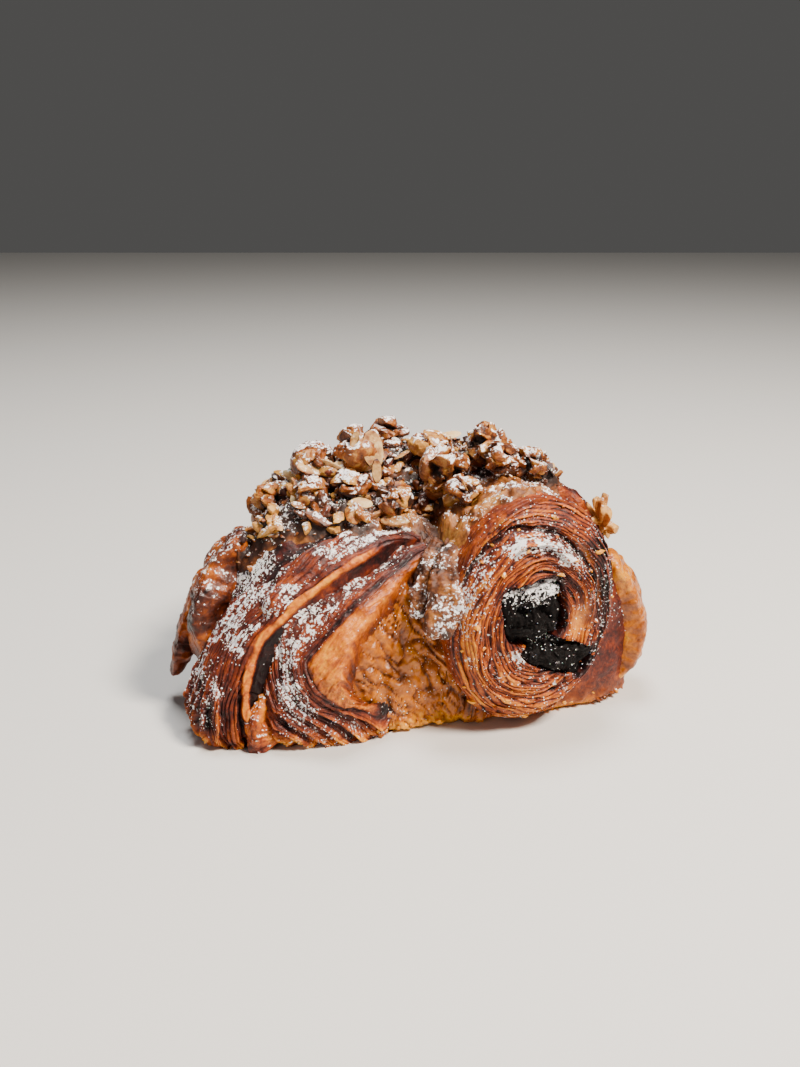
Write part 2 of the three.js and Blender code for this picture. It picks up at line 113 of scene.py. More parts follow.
# %% Smooth noise through space
def noise(p, size, seed=0):
    """Smooth random values from -1 to 1 at points p, in lumps about size across (a number or x, y, z)."""
    q = p / np.asarray(size, float) + 7.31 * seed
    cell = np.floor(q).astype(np.int64)
    part = q - cell
    part = part * part * (3 - 2 * part)
    total = np.zeros(p.shape[:-1])
    for corner in range(8):
        step = np.array([corner & 1, (corner >> 1) & 1, corner >> 2])
        c = cell + step
        # The cell's number is scrambled, so that neighbouring cells have nothing in common.
        mixed = (c[..., 0] * 73856093) ^ (c[..., 1] * 19349663) ^ (c[..., 2] * 83492791) ^ (seed * 374761393)
        mixed = ((mixed ^ (mixed >> 13)) * 1274126177) & 0xFFFFFFFF
        mixed = ((mixed ^ (mixed >> 16)) * 2246822519) & 0xFFFFFFFF
        weight = np.prod(np.where(step == 1, part, 1 - part), axis=-1)
        total += weight * ((mixed ^ (mixed >> 15)) & 0xFFFFFF) / 0xFFFFFF
    return 2 * total - 1


def rough(p, size, layers=3, seed=0):
    """Noise with finer noise on top of it, each layer half the size and half the height."""
    return sum(noise(p, np.asarray(size, float) / 2**k, seed + k) / 2**k for k in range(layers))


def smooth(x, low, high):
    """0 below low, 1 above high, and an even curve between."""
    t = np.clip((np.asarray(x, float) - low) / (high - low), 0, 1)
    return t * t * (3 - 2 * t)


def within(x, low, high, soft):
    """1 between low and high, 0 outside them, and a soft edge about each."""
    return smooth(x, low - soft, low + soft) * (1 - smooth(x, high - soft, high + soft))


def sifted(p, size, seed, low=-0.8, high=0.2, layers=3):
    """Where sugar fell from the sieve: ragged patches about size across, from 0 to 1."""
    return smooth(rough(p, size, layers, seed), low, high)


def wobble(p, scale):
    """The slow unevenness of hand-rolled dough, from -1 to 1, by the formula that the solids use too."""
    x, y, z = p[..., 0], p[..., 1], p[..., 2]
    first = np.sin(x / scale + 1.3) * np.cos(y / scale - 0.7)
    return (first + np.sin((y + z) / scale + 2.1) * np.cos((x - z) / scale)) / 2


sample = noise(np.random.default_rng(1).random((999, 3)) * 50, 3)
print(f"noise from {sample.min():.2f} to {sample.max():.2f}")


# %% Curves through points
def through(points, t):
    """Points at shares t along a smooth curve through the given points."""
    points = np.asarray(points, float)
    first, last = 2 * points[0] - points[1], 2 * points[-1] - points[-2]
    padded = np.vstack([first, points, last])
    at = np.clip(np.asarray(t, float), 0, 1) * (len(points) - 1)
    i = np.minimum(at.astype(int), len(points) - 2)
    w = (at - i)[..., None]
    a, b, c, d = (padded[i + k] for k in range(4))
    return b + 0.5 * w * (c - a + w * (2 * a - 5 * b + 4 * c - d + w * (3 * (b - c) + d - a)))


def between(sizes, t):
    """A size at share t of the way, from sizes given at even steps from start to end."""
    return np.interp(t, np.linspace(0, 1, len(sizes)), sizes)


def outline(table, angle):
    """The radius in a direction, from a table of directions in degrees and radii."""
    angles, radii = np.array(table, float).T
    turned = np.mod(angle - angles[0], 360) + angles[0]
    i = np.clip(np.searchsorted(angles, turned) - 1, 0, len(angles) - 2)
    w = smooth((turned - angles[i]) / (angles[i + 1] - angles[i]), 0, 1)
    return radii[i] + w * (radii[i + 1] - radii[i])


def normals(grid):
    """The outward direction at each point of a grid whose columns close round."""
    across = np.roll(grid, -1, 1) - np.roll(grid, 1, 1)
    n = np.cross(across, np.gradient(grid, axis=0))
    n /= np.linalg.norm(n, axis=-1, keepdims=True) + 1e-12
    outward = np.sum(n * (grid - grid.mean((0, 1))), axis=-1).mean()
    return n if outward > 0 else -n


print("halfway through three points:", through([(0, 0), (1, 2), (2, 0)], 0.5))


# %% From a grid to a mesh
def mesh_piece(name, corners, faces, marks, material):
    """An object from corners in millimetres and faces, with a number at each corner for each mark."""
    mesh = bpy.data.meshes.new(name)
    mesh.from_pydata(((corners - MIDDLE) * MM).tolist(), [], faces)
    for mark, values in marks.items():
        layer = mesh.attributes.new(mark, "FLOAT", "POINT")
        layer.data.foreach_set("value", np.asarray(values, np.float32).ravel())
    mesh.materials.append(material)
    mesh.shade_smooth()
    made = bpy.data.objects.new(name, mesh)
    bpy.context.scene.collection.objects.link(made)
    return made


def skin(name, grid, marks, material):
    """A closed mesh over a grid whose columns close round, with a point in the middle of each end."""
    rows, cols = grid.shape[:2]
    ends = [grid[0].mean(0), grid[-1].mean(0)]
    corners = np.vstack([grid.reshape(-1, 3), ends])
    at = np.arange(rows * cols).reshape(rows, cols)
    side = np.roll(at, -1, 1)
    quads = np.stack([at[:-1], side[:-1], side[1:], at[1:]], -1).reshape(-1, 4)
    a, b, c, d = (corners[quads[:, k]] for k in range(4))
    volume = np.einsum("ij,ij->", a, np.cross(b, c)) + np.einsum("ij,ij->", a, np.cross(c, d))
    caps = [np.stack([np.full(cols, rows * cols), side[0], at[0]], -1)]
    caps.append(np.stack([np.full(cols, rows * cols + 1), at[-1], side[-1]], -1))
    faces = quads.tolist() + np.vstack(caps).tolist()
    if volume < 0:
        faces = [face[::-1] for face in faces]
    full = {k: np.append(v.ravel(), [v[0].mean(), v[-1].mean()]) for k, v in marks.items()}
    return mesh_piece(name, corners, faces, full, material)


# %% [markdown]
# ## Colours and materials
#
# Each material is named for the real stuff. Colours are written as the sRGB values that a painter would
# pick, and one function turns them linear. One function adds a node with its settings and links, so a
# material reads as a list of the nodes that it is made of.


# %% Colours and nodes
def linear(code):
    """A colour such as "#c77e4b" as linear red, green, blue and alpha."""
    parts = [int(code[i : i + 2], 16) / 255 for i in (1, 3, 5)]
    return (*(c / 12.92 if c <= 0.04045 else ((c + 0.055) / 1.055) ** 2.4 for c in parts), 1)


def node(tree, kind, *values, out=0, stops=(), **settings):
    """Adds a node and returns the output that out names.

    Values fill the inputs in order, and a dictionary fills them by name or number. A value is a number,
    a colour code or another node's output. Stops are the places and colour codes of a colour ramp.
    """
    made = tree.nodes.new(kind)
    for key, value in settings.items():
        setattr(made, key, value)
    for place, value in enumerate(values):
        for key, given in (value if isinstance(value, dict) else {place: value}).items():
            if isinstance(given, bpy.types.NodeSocket):
                tree.links.new(given, made.inputs[key])
            else:
                made.inputs[key].default_value = linear(given) if str(given).startswith("#") else given
    for i, (place, code) in enumerate(stops):
        points = made.color_ramp.elements
        point = points[i] if i < 2 else points.new(place)
        point.position = place
        point.color = linear(code)
    return made.outputs[out] if made.outputs else made


def material(name, given):
    """A material with the values given for its shader, its tree, and the surface's point in millimetres."""
    made = bpy.data.materials.new(name)
    made.use_nodes = True
    tree = made.node_tree
    for socket, value in given.items():
        tree.nodes["Principled BSDF"].inputs[socket].default_value = value
    where = node(tree, "ShaderNodeTexCoord", out="Object")
    return made, tree, node(tree, "ShaderNodeVectorMath", where, (1 / MM,) * 3, operation="MULTIPLY")


print("brown", [round(c, 3) for c in linear("#8f5524")])

# %% [markdown]
# ### Icing sugar
#
# Icing sugar falls from a sieve in grains and small clumps, so it lies on what faces up and stays off
# the sides. Every surface carries a mark named sugar, from 0 to 1. Where a fine noise, about the size
# of the clumps, is below that mark the surface is white, which leaves hard-edged specks and no grey veil.

# %% Icing sugar over any surface
SUGAR_WHITE, SUGAR_ROUGH = "#f9f5f4", 0.85
CLUMP, SPECK = 2.0, 0.62  # millimetres across
FILM = 0.14  # how white the thin film round a clump is


def dusted(tree, point, colour, roughness, relief, raised, strength, deep=0.3):
    """Dusts a finish with sugar and links its colour, roughness and bump to the shader.

    Relief is the height of the bare finish, raised is how far the sugar stands above it, and strength
    and deep, in millimetres, are those of the bump.
    """
    clumps = node(tree, "ShaderNodeTexNoise", {"Vector": point, "Scale": 1 / CLUMP, "Detail": 2})
    specks = node(tree, "ShaderNodeTexNoise", {"Vector": point, "Scale": 1 / SPECK, "Detail": 2})
    level = node(tree, "ShaderNodeMath", specks, 0.6, operation="MULTIPLY")
    level = node(tree, "ShaderNodeMath", clumps, 0.4, level, operation="MULTIPLY_ADD")
    edge = node(tree, "ShaderNodeAttribute", out="Fac", attribute_name="sugar")
    edge = node(tree, "ShaderNodeMath", edge, 0.36, 0.3, operation="MULTIPLY_ADD")
    above = node(tree, "ShaderNodeMath", edge, level, operation="SUBTRACT")
    cover = node(tree, "ShaderNodeMapRange", above, 0.0, 0.025, interpolation_type="SMOOTHSTEP")
    film = node(tree, "ShaderNodeMapRange", above, -0.06, 0.02, 0, FILM, interpolation_type="SMOOTHSTEP")
    white = node(tree, "ShaderNodeMath", cover, 0.97, operation="MULTIPLY")
    white = node(tree, "ShaderNodeMath", white, film, operation="MAXIMUM")
    height = node(tree, "ShaderNodeMath", cover, raised, relief, operation="MULTIPLY_ADD")
    bump = node(tree, "ShaderNodeBump", {"Height": height, "Strength": strength, "Distance": deep * MM})
    colour = node(tree, "ShaderNodeMix", {0: white, 6: colour, 7: SUGAR_WHITE}, out=2, data_type="RGBA")
    roughness = node(tree, "ShaderNodeMix", {0: cover, 2: roughness, 3: SUGAR_ROUGH})
    for socket, output in {"Base Color": colour, "Roughness": roughness, "Normal": bump}.items():
        tree.links.new(output, tree.nodes["Principled BSDF"].inputs[socket])


print("sugar white", [round(c, 3) for c in linear(SUGAR_WHITE)])

# %% [markdown]
# ### Baked laminated dough
#
# The butter fries each sheet as it bakes. Thin edges go purple-brown, broad faces go orange, and what
# the syrup soaked is amber and glassy. Marks on the mesh say which: brown, amber, and layers, which is
# the distance across the sheets in millimetres and gives the fine dark lines of the lamination. A mark
# named cut says where the sheets were cut, so that their lines show. The brown mark also carries
# painted shade, in the gaps between sheets and between the folds, and painted highlight on the sheets
# that stand out.

# %% Baked laminated dough
CRUST = [(0.0, "#f0a024"), (0.2, "#d4750e"), (0.38, "#a94c08"), (0.56, "#742a09"), (0.74, "#45140c"),
         (0.94, "#120304")]
GLASS = [(0.0, "#e0960c"), (0.25, "#bb6800"), (0.5, "#874200"), (0.75, "#4a1d01"), (1.0, "#140300")]
SHEET_LINE = "#3d120c"
LINE_SPACING, FAINT_SPACING = 0.9, 0.41  # millimetres between the dark lines


def laminated_dough():
    made, tree, point = material("laminated_dough_baked", {
        "Coat Roughness": 0.25, "Specular IOR Level": 0.36, "Subsurface Weight": 0.05,
        "Subsurface Radius": (1.0, 0.4, 0.15), "Subsurface Scale": 1.0 * MM})
    blotch, fine, drift, patches = (
        node(tree, "ShaderNodeTexNoise", {"Vector": point, "Scale": 1 / size, "Detail": detail})
        for size, detail in ((4.0, 4), (0.8, 3), (3.0, 2), (2.6, 2)))
    brown, amber, layers, cut = (
        node(tree, "ShaderNodeAttribute", out="Fac", attribute_name=name)
        for name in ("brown", "amber", "layers", "cut"))
    brown = node(tree, "ShaderNodeMath", blotch, 0.7, brown, operation="MULTIPLY_ADD")
    brown = node(tree, "ShaderNodeMath", fine, 0.5, brown, operation="MULTIPLY_ADD")
    brown = node(tree, "ShaderNodeMath", brown, 0.6, operation="SUBTRACT")
    crust = node(tree, "ShaderNodeValToRGB", brown, stops=CRUST)
    glass = node(tree, "ShaderNodeValToRGB", brown, stops=GLASS)
    colour = node(tree, "ShaderNodeMix", {0: amber, 6: crust, 7: glass}, out=2, data_type="RGBA")
    # The sheets show as dark lines, which wander and fade, with fainter ones between them.
    shift = node(tree, "ShaderNodeMath", drift, 2.2, layers, operation="MULTIPLY_ADD")
    waves = []
    for spacing in (LINE_SPACING, FAINT_SPACING):
        turns = node(tree, "ShaderNodeMath", shift, 2 * math.pi / spacing, operation="MULTIPLY")
        waves.append(node(tree, "ShaderNodeMath", turns, operation="SINE"))
    lines = node(tree, "ShaderNodeMath", waves[1], 0.3, operation="MULTIPLY")
    lines = node(tree, "ShaderNodeMath", waves[0], 0.7, lines, operation="MULTIPLY_ADD")
    dark = node(tree, "ShaderNodeMapRange", lines, 0.1, 0.95, 0, 0.6, interpolation_type="SMOOTHSTEP")
    patchy = node(tree, "ShaderNodeMapRange", patches, 0.25, 0.6, interpolation_type="SMOOTHSTEP")
    dark = node(tree, "ShaderNodeMath", dark, patchy, operation="MULTIPLY")
    dark = node(tree, "ShaderNodeMath", dark, cut, operation="MULTIPLY")
    colour = node(tree, "ShaderNodeMix", {0: dark, 6: colour, 7: SHEET_LINE}, out=2, data_type="RGBA")
    # What the syrup soaked is glossier, and has a thin clear coat.
    gloss = node(tree, "ShaderNodeMath", amber, -0.16, 0.44, operation="MULTIPLY_ADD")
    gloss = node(tree, "ShaderNodeMath", fine, 0.14, gloss, operation="MULTIPLY_ADD")
    coat = node(tree, "ShaderNodeMath", amber, 0.3, operation="MULTIPLY", use_clamp=True)
    tree.links.new(coat, tree.nodes["Principled BSDF"].inputs["Coat Weight"])
    ridge = node(tree, "ShaderNodeMath", cut, 0.35, operation="MULTIPLY")
    relief = node(tree, "ShaderNodeMath", lines, ridge, fine, operation="MULTIPLY_ADD")
    dusted(tree, point, colour, gloss, relief, raised=1.2, strength=0.7)
    return made


DOUGH = laminated_dough()
print(DOUGH.name, "has", len(DOUGH.node_tree.nodes), "nodes")

# %% [markdown]
# ## Sheets on edge
#
# Where laminated dough is cut, its sheets stand side by side like the pages of a book. No two rise to
# the same height, and each rises and falls along its length on its own. So a sheet is found from the
# distance across the stack, and its height is noise that only that sheet has.


# %% Sheets on edge
def on_sheet(across, along):
    """Points for noise on a sheet laid flat, from millimetres across it and along it."""
    return np.stack([across, along, 0 * along], -1)


def sheaf(across, along, pitch, seed, reach=9.0):
    """How far each sheet of a stack stands out, from about -1 to 1, 1 in the gaps, and its own height."""
    flat = on_sheet(across, along)
    drift = across + 1.2 * noise(flat, 11, seed) + 0.35 * noise(flat, 3.3, seed + 1)
    number = np.floor(drift / pitch)
    part = drift / pitch - number
    own = noise(on_sheet(number * 9.7, along / reach), 1, seed + 2)
    own = own + 0.5 * noise(on_sheet(number * 5.3, 3.1 * along / reach), 1, seed + 3)
    gap = smooth(np.abs(2 * part - 1), 0.5, 1.0)
    return own - 0.7 * gap, gap, own


def raised(grid, out, relief):
    """A grid moved outwards by its relief, and kept above the floor."""
    grid = grid + out * relief[..., None]
    grid[..., 2] = np.maximum(grid[..., 2], 0)
    return grid


ruler = np.linspace(0, 20, 2000)
print("gaps in 20 mm of stack:", np.sum(np.diff(sheaf(ruler, 0 * ruler, 1.35, 3)[1] > 0.5)) // 2)

# %% [markdown]
# ## The wraps
#
# Seen from above, the croissant is a fan. Its wraps run out from a hub near the front, over a crest and
# down to the foot, and each wrap comes out from under the next, with the cut edge of its sheets
# showing. A grid of directions round the hub and shares of the way down gives the whole body at once.

# %% The wraps' sizes
HUB = np.array([4.0, -12.0])
HEART = np.array([6.0, -6.0, 8.0])  # the middle of the dough, from which the folds face outwards
CREST, HUB_HEIGHT = 52.5, 43.0
FIRST_WAY = -80  # degrees: the direction in which the fan starts and ends
WRAP_EDGES = [-62, -22, 14, 50, 128, 164, 198]  # degrees
WRAP_STEP, WRAP_TWIST = 2.3, 15.0  # millimetres from wrap to wrap, and degrees from foot to crest
WRAP_LENGTH, WRAP_REACH = 75, 36  # millimetres from the foot to the hub, and from the hub outwards
WRAP_UNEVEN = 0.77  # millimetres
REACH = [
    (-80, 25), (-50, 25), (-25, 33), (0, 49), (30, 51), (60, 51), (90, 52), (120, 53),
    (150, 56), (178, 58), (196, 56), (212, 48), (228, 39), (244, 31), (262, 26), (280, 25),
]
RISE = [
    (0.9, 0), (0.98, 0.06), (1, 0.22), (0.975, 0.42), (0.9, 0.66), (0.76, 0.87),
    (0.57, 0.985), (0.4, 1), (0.24, 0.97), (0.1, 0.9), (0.04, 0.88),
]
WRAP_COLUMNS, WRAP_LEVELS = 620, 150
CROWDED, CROWDED_AT = 0.35, math.radians(18)  # how much closer the front's columns stand, and where
LOW_FRONT, GLASSY_FRONT = 250, 262  # degrees: the middle of the low front, and of its glassy part
CUT_PITCH = 1.5  # millimetres from sheet to sheet along a wrap's cut edge
print("wraps:", len(WRAP_EDGES) + 1)


# %% The wraps' form
def wrap_drop(angle):
    """How many millimetres a wrap lies below the middle one, and how many degrees off its cut edge is."""
    stops = [FIRST_WAY, *WRAP_EDGES, FIRST_WAY + 360]
    ends = [-999, *WRAP_EDGES, 999]  # the first and the last wrap have no edge of their own
    turned = np.mod(angle - FIRST_WAY, 360) + FIRST_WAY
    drop = np.zeros_like(turned)
    for k in range(len(stops) - 1):
        along = np.clip((turned - stops[k]) / (stops[k + 1] - stops[k]), 0, 1)
        own = abs(k - len(WRAP_EDGES) / 2) - 0.5 - 0.5 * np.sin(np.pi * along)
        drop += own * within(turned, ends[k], ends[k + 1], 1)
    near = np.min([np.abs(turned - edge) for edge in WRAP_EDGES], axis=0)
    return WRAP_STEP * drop, near


def wraps_grid():
    # The glassy front has twice as many columns for its width as the back.
    even = 2 * np.pi * np.arange(WRAP_COLUMNS) / WRAP_COLUMNS
    angle = FIRST_WAY + np.degrees(even - CROWDED * (np.sin(even + CROWDED_AT) - math.sin(CROWDED_AT)))
    share, height = through(RISE, np.linspace(0, 1, WRAP_LEVELS) ** 0.9).T[..., None]
    drop, near = wrap_drop(angle[None, :])
    turned = angle + WRAP_TWIST * (height - 0.4)
    fall = drop * smooth(share, 0.1, 0.5)
    radius = (outline(REACH, turned) - fall) * share
    from_front = smooth(np.abs(turned - LOW_FRONT), 20, 75)
    crest = HUB_HEIGHT + (CREST - HUB_HEIGHT) * from_front * smooth(share, 0.05, 0.45)
    theta = np.radians(turned)
    grid = np.stack([HUB[0] + radius * np.cos(theta), HUB[1] + radius * np.sin(theta),
                     height * crest - fall * smooth(height, 0.2, 0.7)], -1)
    grid += (WRAP_UNEVEN * smooth(height, 0, 0.2) * wobble(grid, 7))[..., None]
    return grid, turned, np.broadcast_to(near, turned.shape), np.broadcast_to(height, turned.shape)


# %% The wraps' surface
def wraps():
    grid, turned, near, height = wraps_grid()
    out = normals(grid)
    turned = np.mod(turned, 360)
    x, y, z = grid[..., 0], grid[..., 1], grid[..., 2]
    along = height * WRAP_LENGTH
    edge = 1 - smooth(near, 2.5, 6)
    front = 1 - smooth(np.abs(turned - GLASSY_FRONT), 24, 44)
    low = 1 - smooth(z, 1, 9)
    # Swells and blisters all over, and the sheets of each wrap's cut edge.
    relief = 0.5 * rough(grid, 6, 3, 1) + 0.35 * rough(grid, 1.9, 2, 5) * (1 - front)
    stand, gap, own = sheaf(near + 0 * along, along, CUT_PITCH, 13)
    relief += 0.8 * edge * stand
    # The front is glass: stretched bubbles, and creases that run down to the right.
    slant = np.stack([(x + z) / 1.9, y / 4, (x - z) / 6.5], -1)
    crease = (1 - np.abs(noise(slant, 1, 9))) ** 5
    blister = np.abs(noise(slant * 1.2, (1, 1, 0.4), 11)) + 0.3 * np.abs(noise(grid, 1.5, 12))
    relief += front * (1.0 * blister - 1.1 * crease - 0.2)
    # The foot is ragged, where the syrup ran down and baked on.
    relief += low * (0.9 * np.clip(rough(grid, 2.4, 2, 15), -0.4, 1) + 0.3)
    foot = (1 - smooth(z, 0.5, 4.5)) * smooth(z, 0.0, 0.4)
    flaky = foot * smooth(z, 1.0, 1.4)
    relief += foot * (1.5 * np.clip(rough(grid, 1.7, 3, 17), -0.3, 1) + 0.3)
    grid = raised(grid, out, relief * smooth(height, 0.0, 0.05))
    # It browned where it faces up and along its edges. It is darker at the far left, partly its own crust
    # and partly painted shade. Painted shade darkens it deep between the folds and in the gaps between
    # the sheets of a cut edge, and the sheets that stand out are lighter, partly their own tone and partly
    # a painted highlight. It is darker in the creases of the glassy front. The foot is paler, partly its
    # own golden crust and partly painted light against the shadow there.
    up = smooth(out[..., 2], 0.1, 0.9)
    left = smooth(turned, 130, 190) * (1 - front)
    shade_between_folds = smooth(turned, 198, 206) * (1 - smooth(turned, 226, 236))
    deep = shade_between_folds * (1 - smooth(grid[..., 2], 20, 30))
    brown = 0.42 + 0.2 * up + 0.26 * left - 0.1 * low - 0.4 * foot + 0.15 * edge - 0.1 * front
    brown += 0.5 * deep + 0.5 * front * np.clip(crease - 0.3, 0, 1) + edge * (0.25 * gap - 0.1 * own)
    fell = sifted(grid, 8, 31, -0.5, 0.5)
    sugar = (up * (0.3 + 0.2 * left) + 0.34 * left * smooth(height, 0.3, 0.6)) * fell * (1 - front)
    sugar += 0.16 * front * fell * smooth(grid[..., 0], -22, -2)
    marks = {"brown": brown, "amber": np.clip(front + 0.6 * low, 0, 1), "sugar": sugar, "foot": flaky,
             "layers": np.radians(turned) * WRAP_REACH, "cut": np.clip(0.8 * edge + 0.15 - 0.5 * front, 0, 1)}
    return skin("dough_wraps", grid, marks, DOUGH)


WRAPS = wraps()
print("wraps:", len(WRAPS.data.polygons), "faces")

# %% [markdown]
# ## The folds
#
# On the left two wraps were cut across and opened out, so their sheets stand on edge. Each fold is a
# section carried along a spine from the hub to the foot. The section is a rounded hump, and its sheets
# run along it as ridges that spread into petals at the toe.

# %% The folds' sizes
LEFT_FOLD = dict(
    spine=[(3, -12, 42), (-8, -16.5, 43), (-18.5, -22, 40), (-29.5, -28, 34), (-38.5, -33.5, 25),
           (-44, -38.5, 15), (-46, -41, 7), (-44.5, -40, 0)],
    left=(7, 14, 12), right=(5, 7.5, 8.5, 7.2, 9, 12), out=(2, 2, 2), deep=(8, 14, 16))
RIGHT_FOLD = dict(
    spine=[(6.5, -16, 42), (-1.5, -21, 38.5), (-10.5, -28.5, 33.5), (-19.5, -35, 26.5), (-26.5, -39, 18.5),
           (-29.5, -41, 11), (-29.5, -41, 5), (-28, -38, 0)],
    left=(3.5, 10.5, 14.5, 9.5, 5.5, 4.5), right=(3, 3.8, 6.5, 13, 19, 22), out=(1.5, 2, 2), deep=(8, 12, 14))
PETAL = dict(
    spine=[(-34, -38, 12), (-36, -41, 7), (-36.5, -42, 3), (-36, -41, 0)],
    left=(1.5, 2, 2.4), right=(1.5, 2, 2.4), out=(1.5, 1.5, 2), deep=(6, 7, 8))
SKIRT = dict(
    spine=[(46, -11, 36), (51.5, -10, 28), (54.5, -10, 19), (53.5, -11, 10), (48, -12, 3)],
    left=(5, 6, 5), right=(6, 8, 6), out=(2, 1.6, 2), deep=(7, 9, 7))
SHEET = dict(
    spine=[(-41, -10, 41), (-48.5, -12.5, 35.5), (-52.5, -15.5, 28), (-53.2, -18, 20), (-51, -20, 12)],
    left=(6, 9, 7), right=(7, 11, 8), out=(1.2, 1.2, 1.2), deep=(8, 12, 9))
FLAKE = dict(
    spine=[(-50, -15, 33), (-54.5, -16, 25), (-57.6, -16, 16), (-59.3, -16, 6.5)],
    left=(3, 4, 2.6), right=(4, 5.5, 2.4), out=(1, 0.9, 0.7), deep=(8, 6, 2.2))
LEFT_LENGTH, RIGHT_LENGTH = 88, 72  # millimetres along the spine
LEFT_PITCH, RIGHT_PITCH = 1.35, 1.25  # millimetres from sheet to sheet
LEFT_SHINGLE, RIGHT_SHINGLE = 3.6, 4.4  # millimetres from shingle to shingle at the toe
FOLD_STEPS, FOLD_SIDES = 390, 250
ROUNDED_END = 0.08  # the share of a fold's length over which each end closes
SQUARE = 0.85  # the power of the cosine that fills out a section: 1 is an ellipse
FOLD_UNEVEN = 0.5  # millimetres


def fold_grid(sizes, steps, sides, square=SQUARE, swing=0):
    """A fold's grid, with its share along, place left of the spine, height and direction in its section."""
    t = np.linspace(0, 1, steps)
    spine = through(sizes["spine"], t)
    along = np.gradient(spine, axis=0)
    along /= np.linalg.norm(along, axis=1, keepdims=True)
    outward = spine - HEART
    outward -= np.sum(outward * along, axis=1, keepdims=True) * along
    outward /= np.linalg.norm(outward, axis=1, keepdims=True)
    side = np.cross(along, outward)
    # Four fifths of the points go to the half that shows.
    shown = sides * 4 // 5
    turn = np.concatenate([np.linspace(-10, 190, shown, endpoint=False),
                           np.linspace(190, 350, sides - shown, endpoint=False)])
    sideways, proud = np.cos(np.radians(turn)), np.sin(np.radians(turn))
    sideways = np.sign(sideways) * np.abs(sideways) ** square
    past = np.maximum(0, np.abs(t - 0.5) - (0.5 - ROUNDED_END))
    close = np.sqrt(1 - (past / (ROUNDED_END + 0.005)) ** 2)[:, None]
    wide = np.where(sideways > 0, between(sizes["left"], t)[:, None], between(sizes["right"], t)[:, None])
    high = np.where(proud > 0, between(sizes["out"], t)[:, None], between(sizes["deep"], t)[:, None])
    across, up = sideways * wide * close, proud * high * close
    grid = spine[:, None] + side[:, None] * across[..., None] + outward[:, None] * up[..., None]
    # At the toe the right side swings from facing the front to lying along the body.
    right = np.maximum(0, -across)
    away = swing * smooth(t, 0.35, 0.85)[:, None] * right
    grid += np.stack([0.35 * away, (0.7 + 0.012 * right) * away, 0 * away], -1)
    grid += outward[:, None] * (FOLD_UNEVEN * wobble(grid, 4))[..., None]
    same = np.zeros_like(across)
    return grid, same + t[:, None], across, same + proud, same + turn


def shingles(across, along, pitch, seed):
    """Sheets that lap like shingles, from 0 at the low edge of each to 1 at its lip."""
    flat = on_sheet(across, along)
    drift = (across + 1.4 * noise(flat, 8, seed) + 0.5 * noise(flat, 2.5, seed + 1)) / pitch
    return (drift % 1) ** 1.4


print("a fold has", FOLD_STEPS * FOLD_SIDES, "points")


# %% The left fold
def left_fold():
    grid, t, across, proud, turn = fold_grid(LEFT_FOLD, FOLD_STEPS, FOLD_SIDES, swing=1)
    out = normals(grid)
    along = t * LEFT_LENGTH
    toe = smooth(t, 0.6, 0.9)
    stand, gap, own = sheaf(across * (1 + 0.3 * toe), along, LEFT_PITCH, 3)
    lapped = shingles(-across, along, LEFT_SHINGLE, 35)
    # Its right edge is a pale lip of uneven width, above a side wall that painted shade darkens.
    from_edge = across + between(LEFT_FOLD["right"], t)
    ragged = from_edge + 0.5 * noise(on_sheet(along, 0 * t), 5, 36)
    lip = (1 - smooth(ragged, 0.4, 1.0)) * smooth(t, 0.16, 0.26) * smooth(proud, -0.12, 0.02)
    side = smooth(-proud, -0.02, 0.1) * smooth(turn, 100, 120)
    relief = (0.42 + 0.4 * toe) * stand * (1 - 0.8 * lip) + 1.9 * toe * (lapped - 0.5) * (1 - 0.7 * lip)
    relief += 0.4 * rough(grid, 4.5, 3, 7)
    relief += lip * (0.6 + 0.25 * rough(on_sheet(across, along), (0.7, 1.5, 1), 2, 12))
    grid = raised(grid, out, relief)
    low = 1 - smooth(grid[..., 2], 0.5, 7)
    # Painted shade darkens the side wall, more so down the fold, the gaps between the sheets and, at the toe,
    # each shingle's low edge, where the next one laps over it. The sheets that stand out are lighter, partly
    # their own tone and partly a painted highlight, and each shingle's lip is a painted highlight.
    wall_shade = 0.1 + 0.6 * smooth(t, 0.45, 0.6)
    brown = 0.62 - 0.12 * own + 0.15 * gap - 0.42 * lip + wall_shade * side
    brown -= 0.5 * toe * (lapped - 0.55) * (1 - lip)
    brown -= 0.45 * low * (1 - side) * sifted(grid, 3, 47, -0.7, 0.2, 2)
    sugar = 0.6 * sifted(grid, 6, 41) * smooth(from_edge, 1.4, 2.4)
    sugar *= (1 - 0.5 * toe) * (1 - 0.35 * gap) * (1 - low)
    cut = (1 - lip) * (1 - 0.6 * side)
    marks = {"brown": brown, "amber": 0 * t, "sugar": sugar, "layers": across, "cut": cut}
    return skin("dough_left_fold", grid, marks, DOUGH)


FOLDS = [left_fold()]
print("left fold:", len(FOLDS[0].data.polygons), "faces")

# %% The right fold
# On its left it rises by this many millimetres to meet the lip of the left fold, and lies against it.
RIGHT_RISE, RISE_WAY = 8.5, np.array([-0.35, -0.45, 0.82])
FAN = 22  # millimetres: how far to the right the sheets fan out over the toe


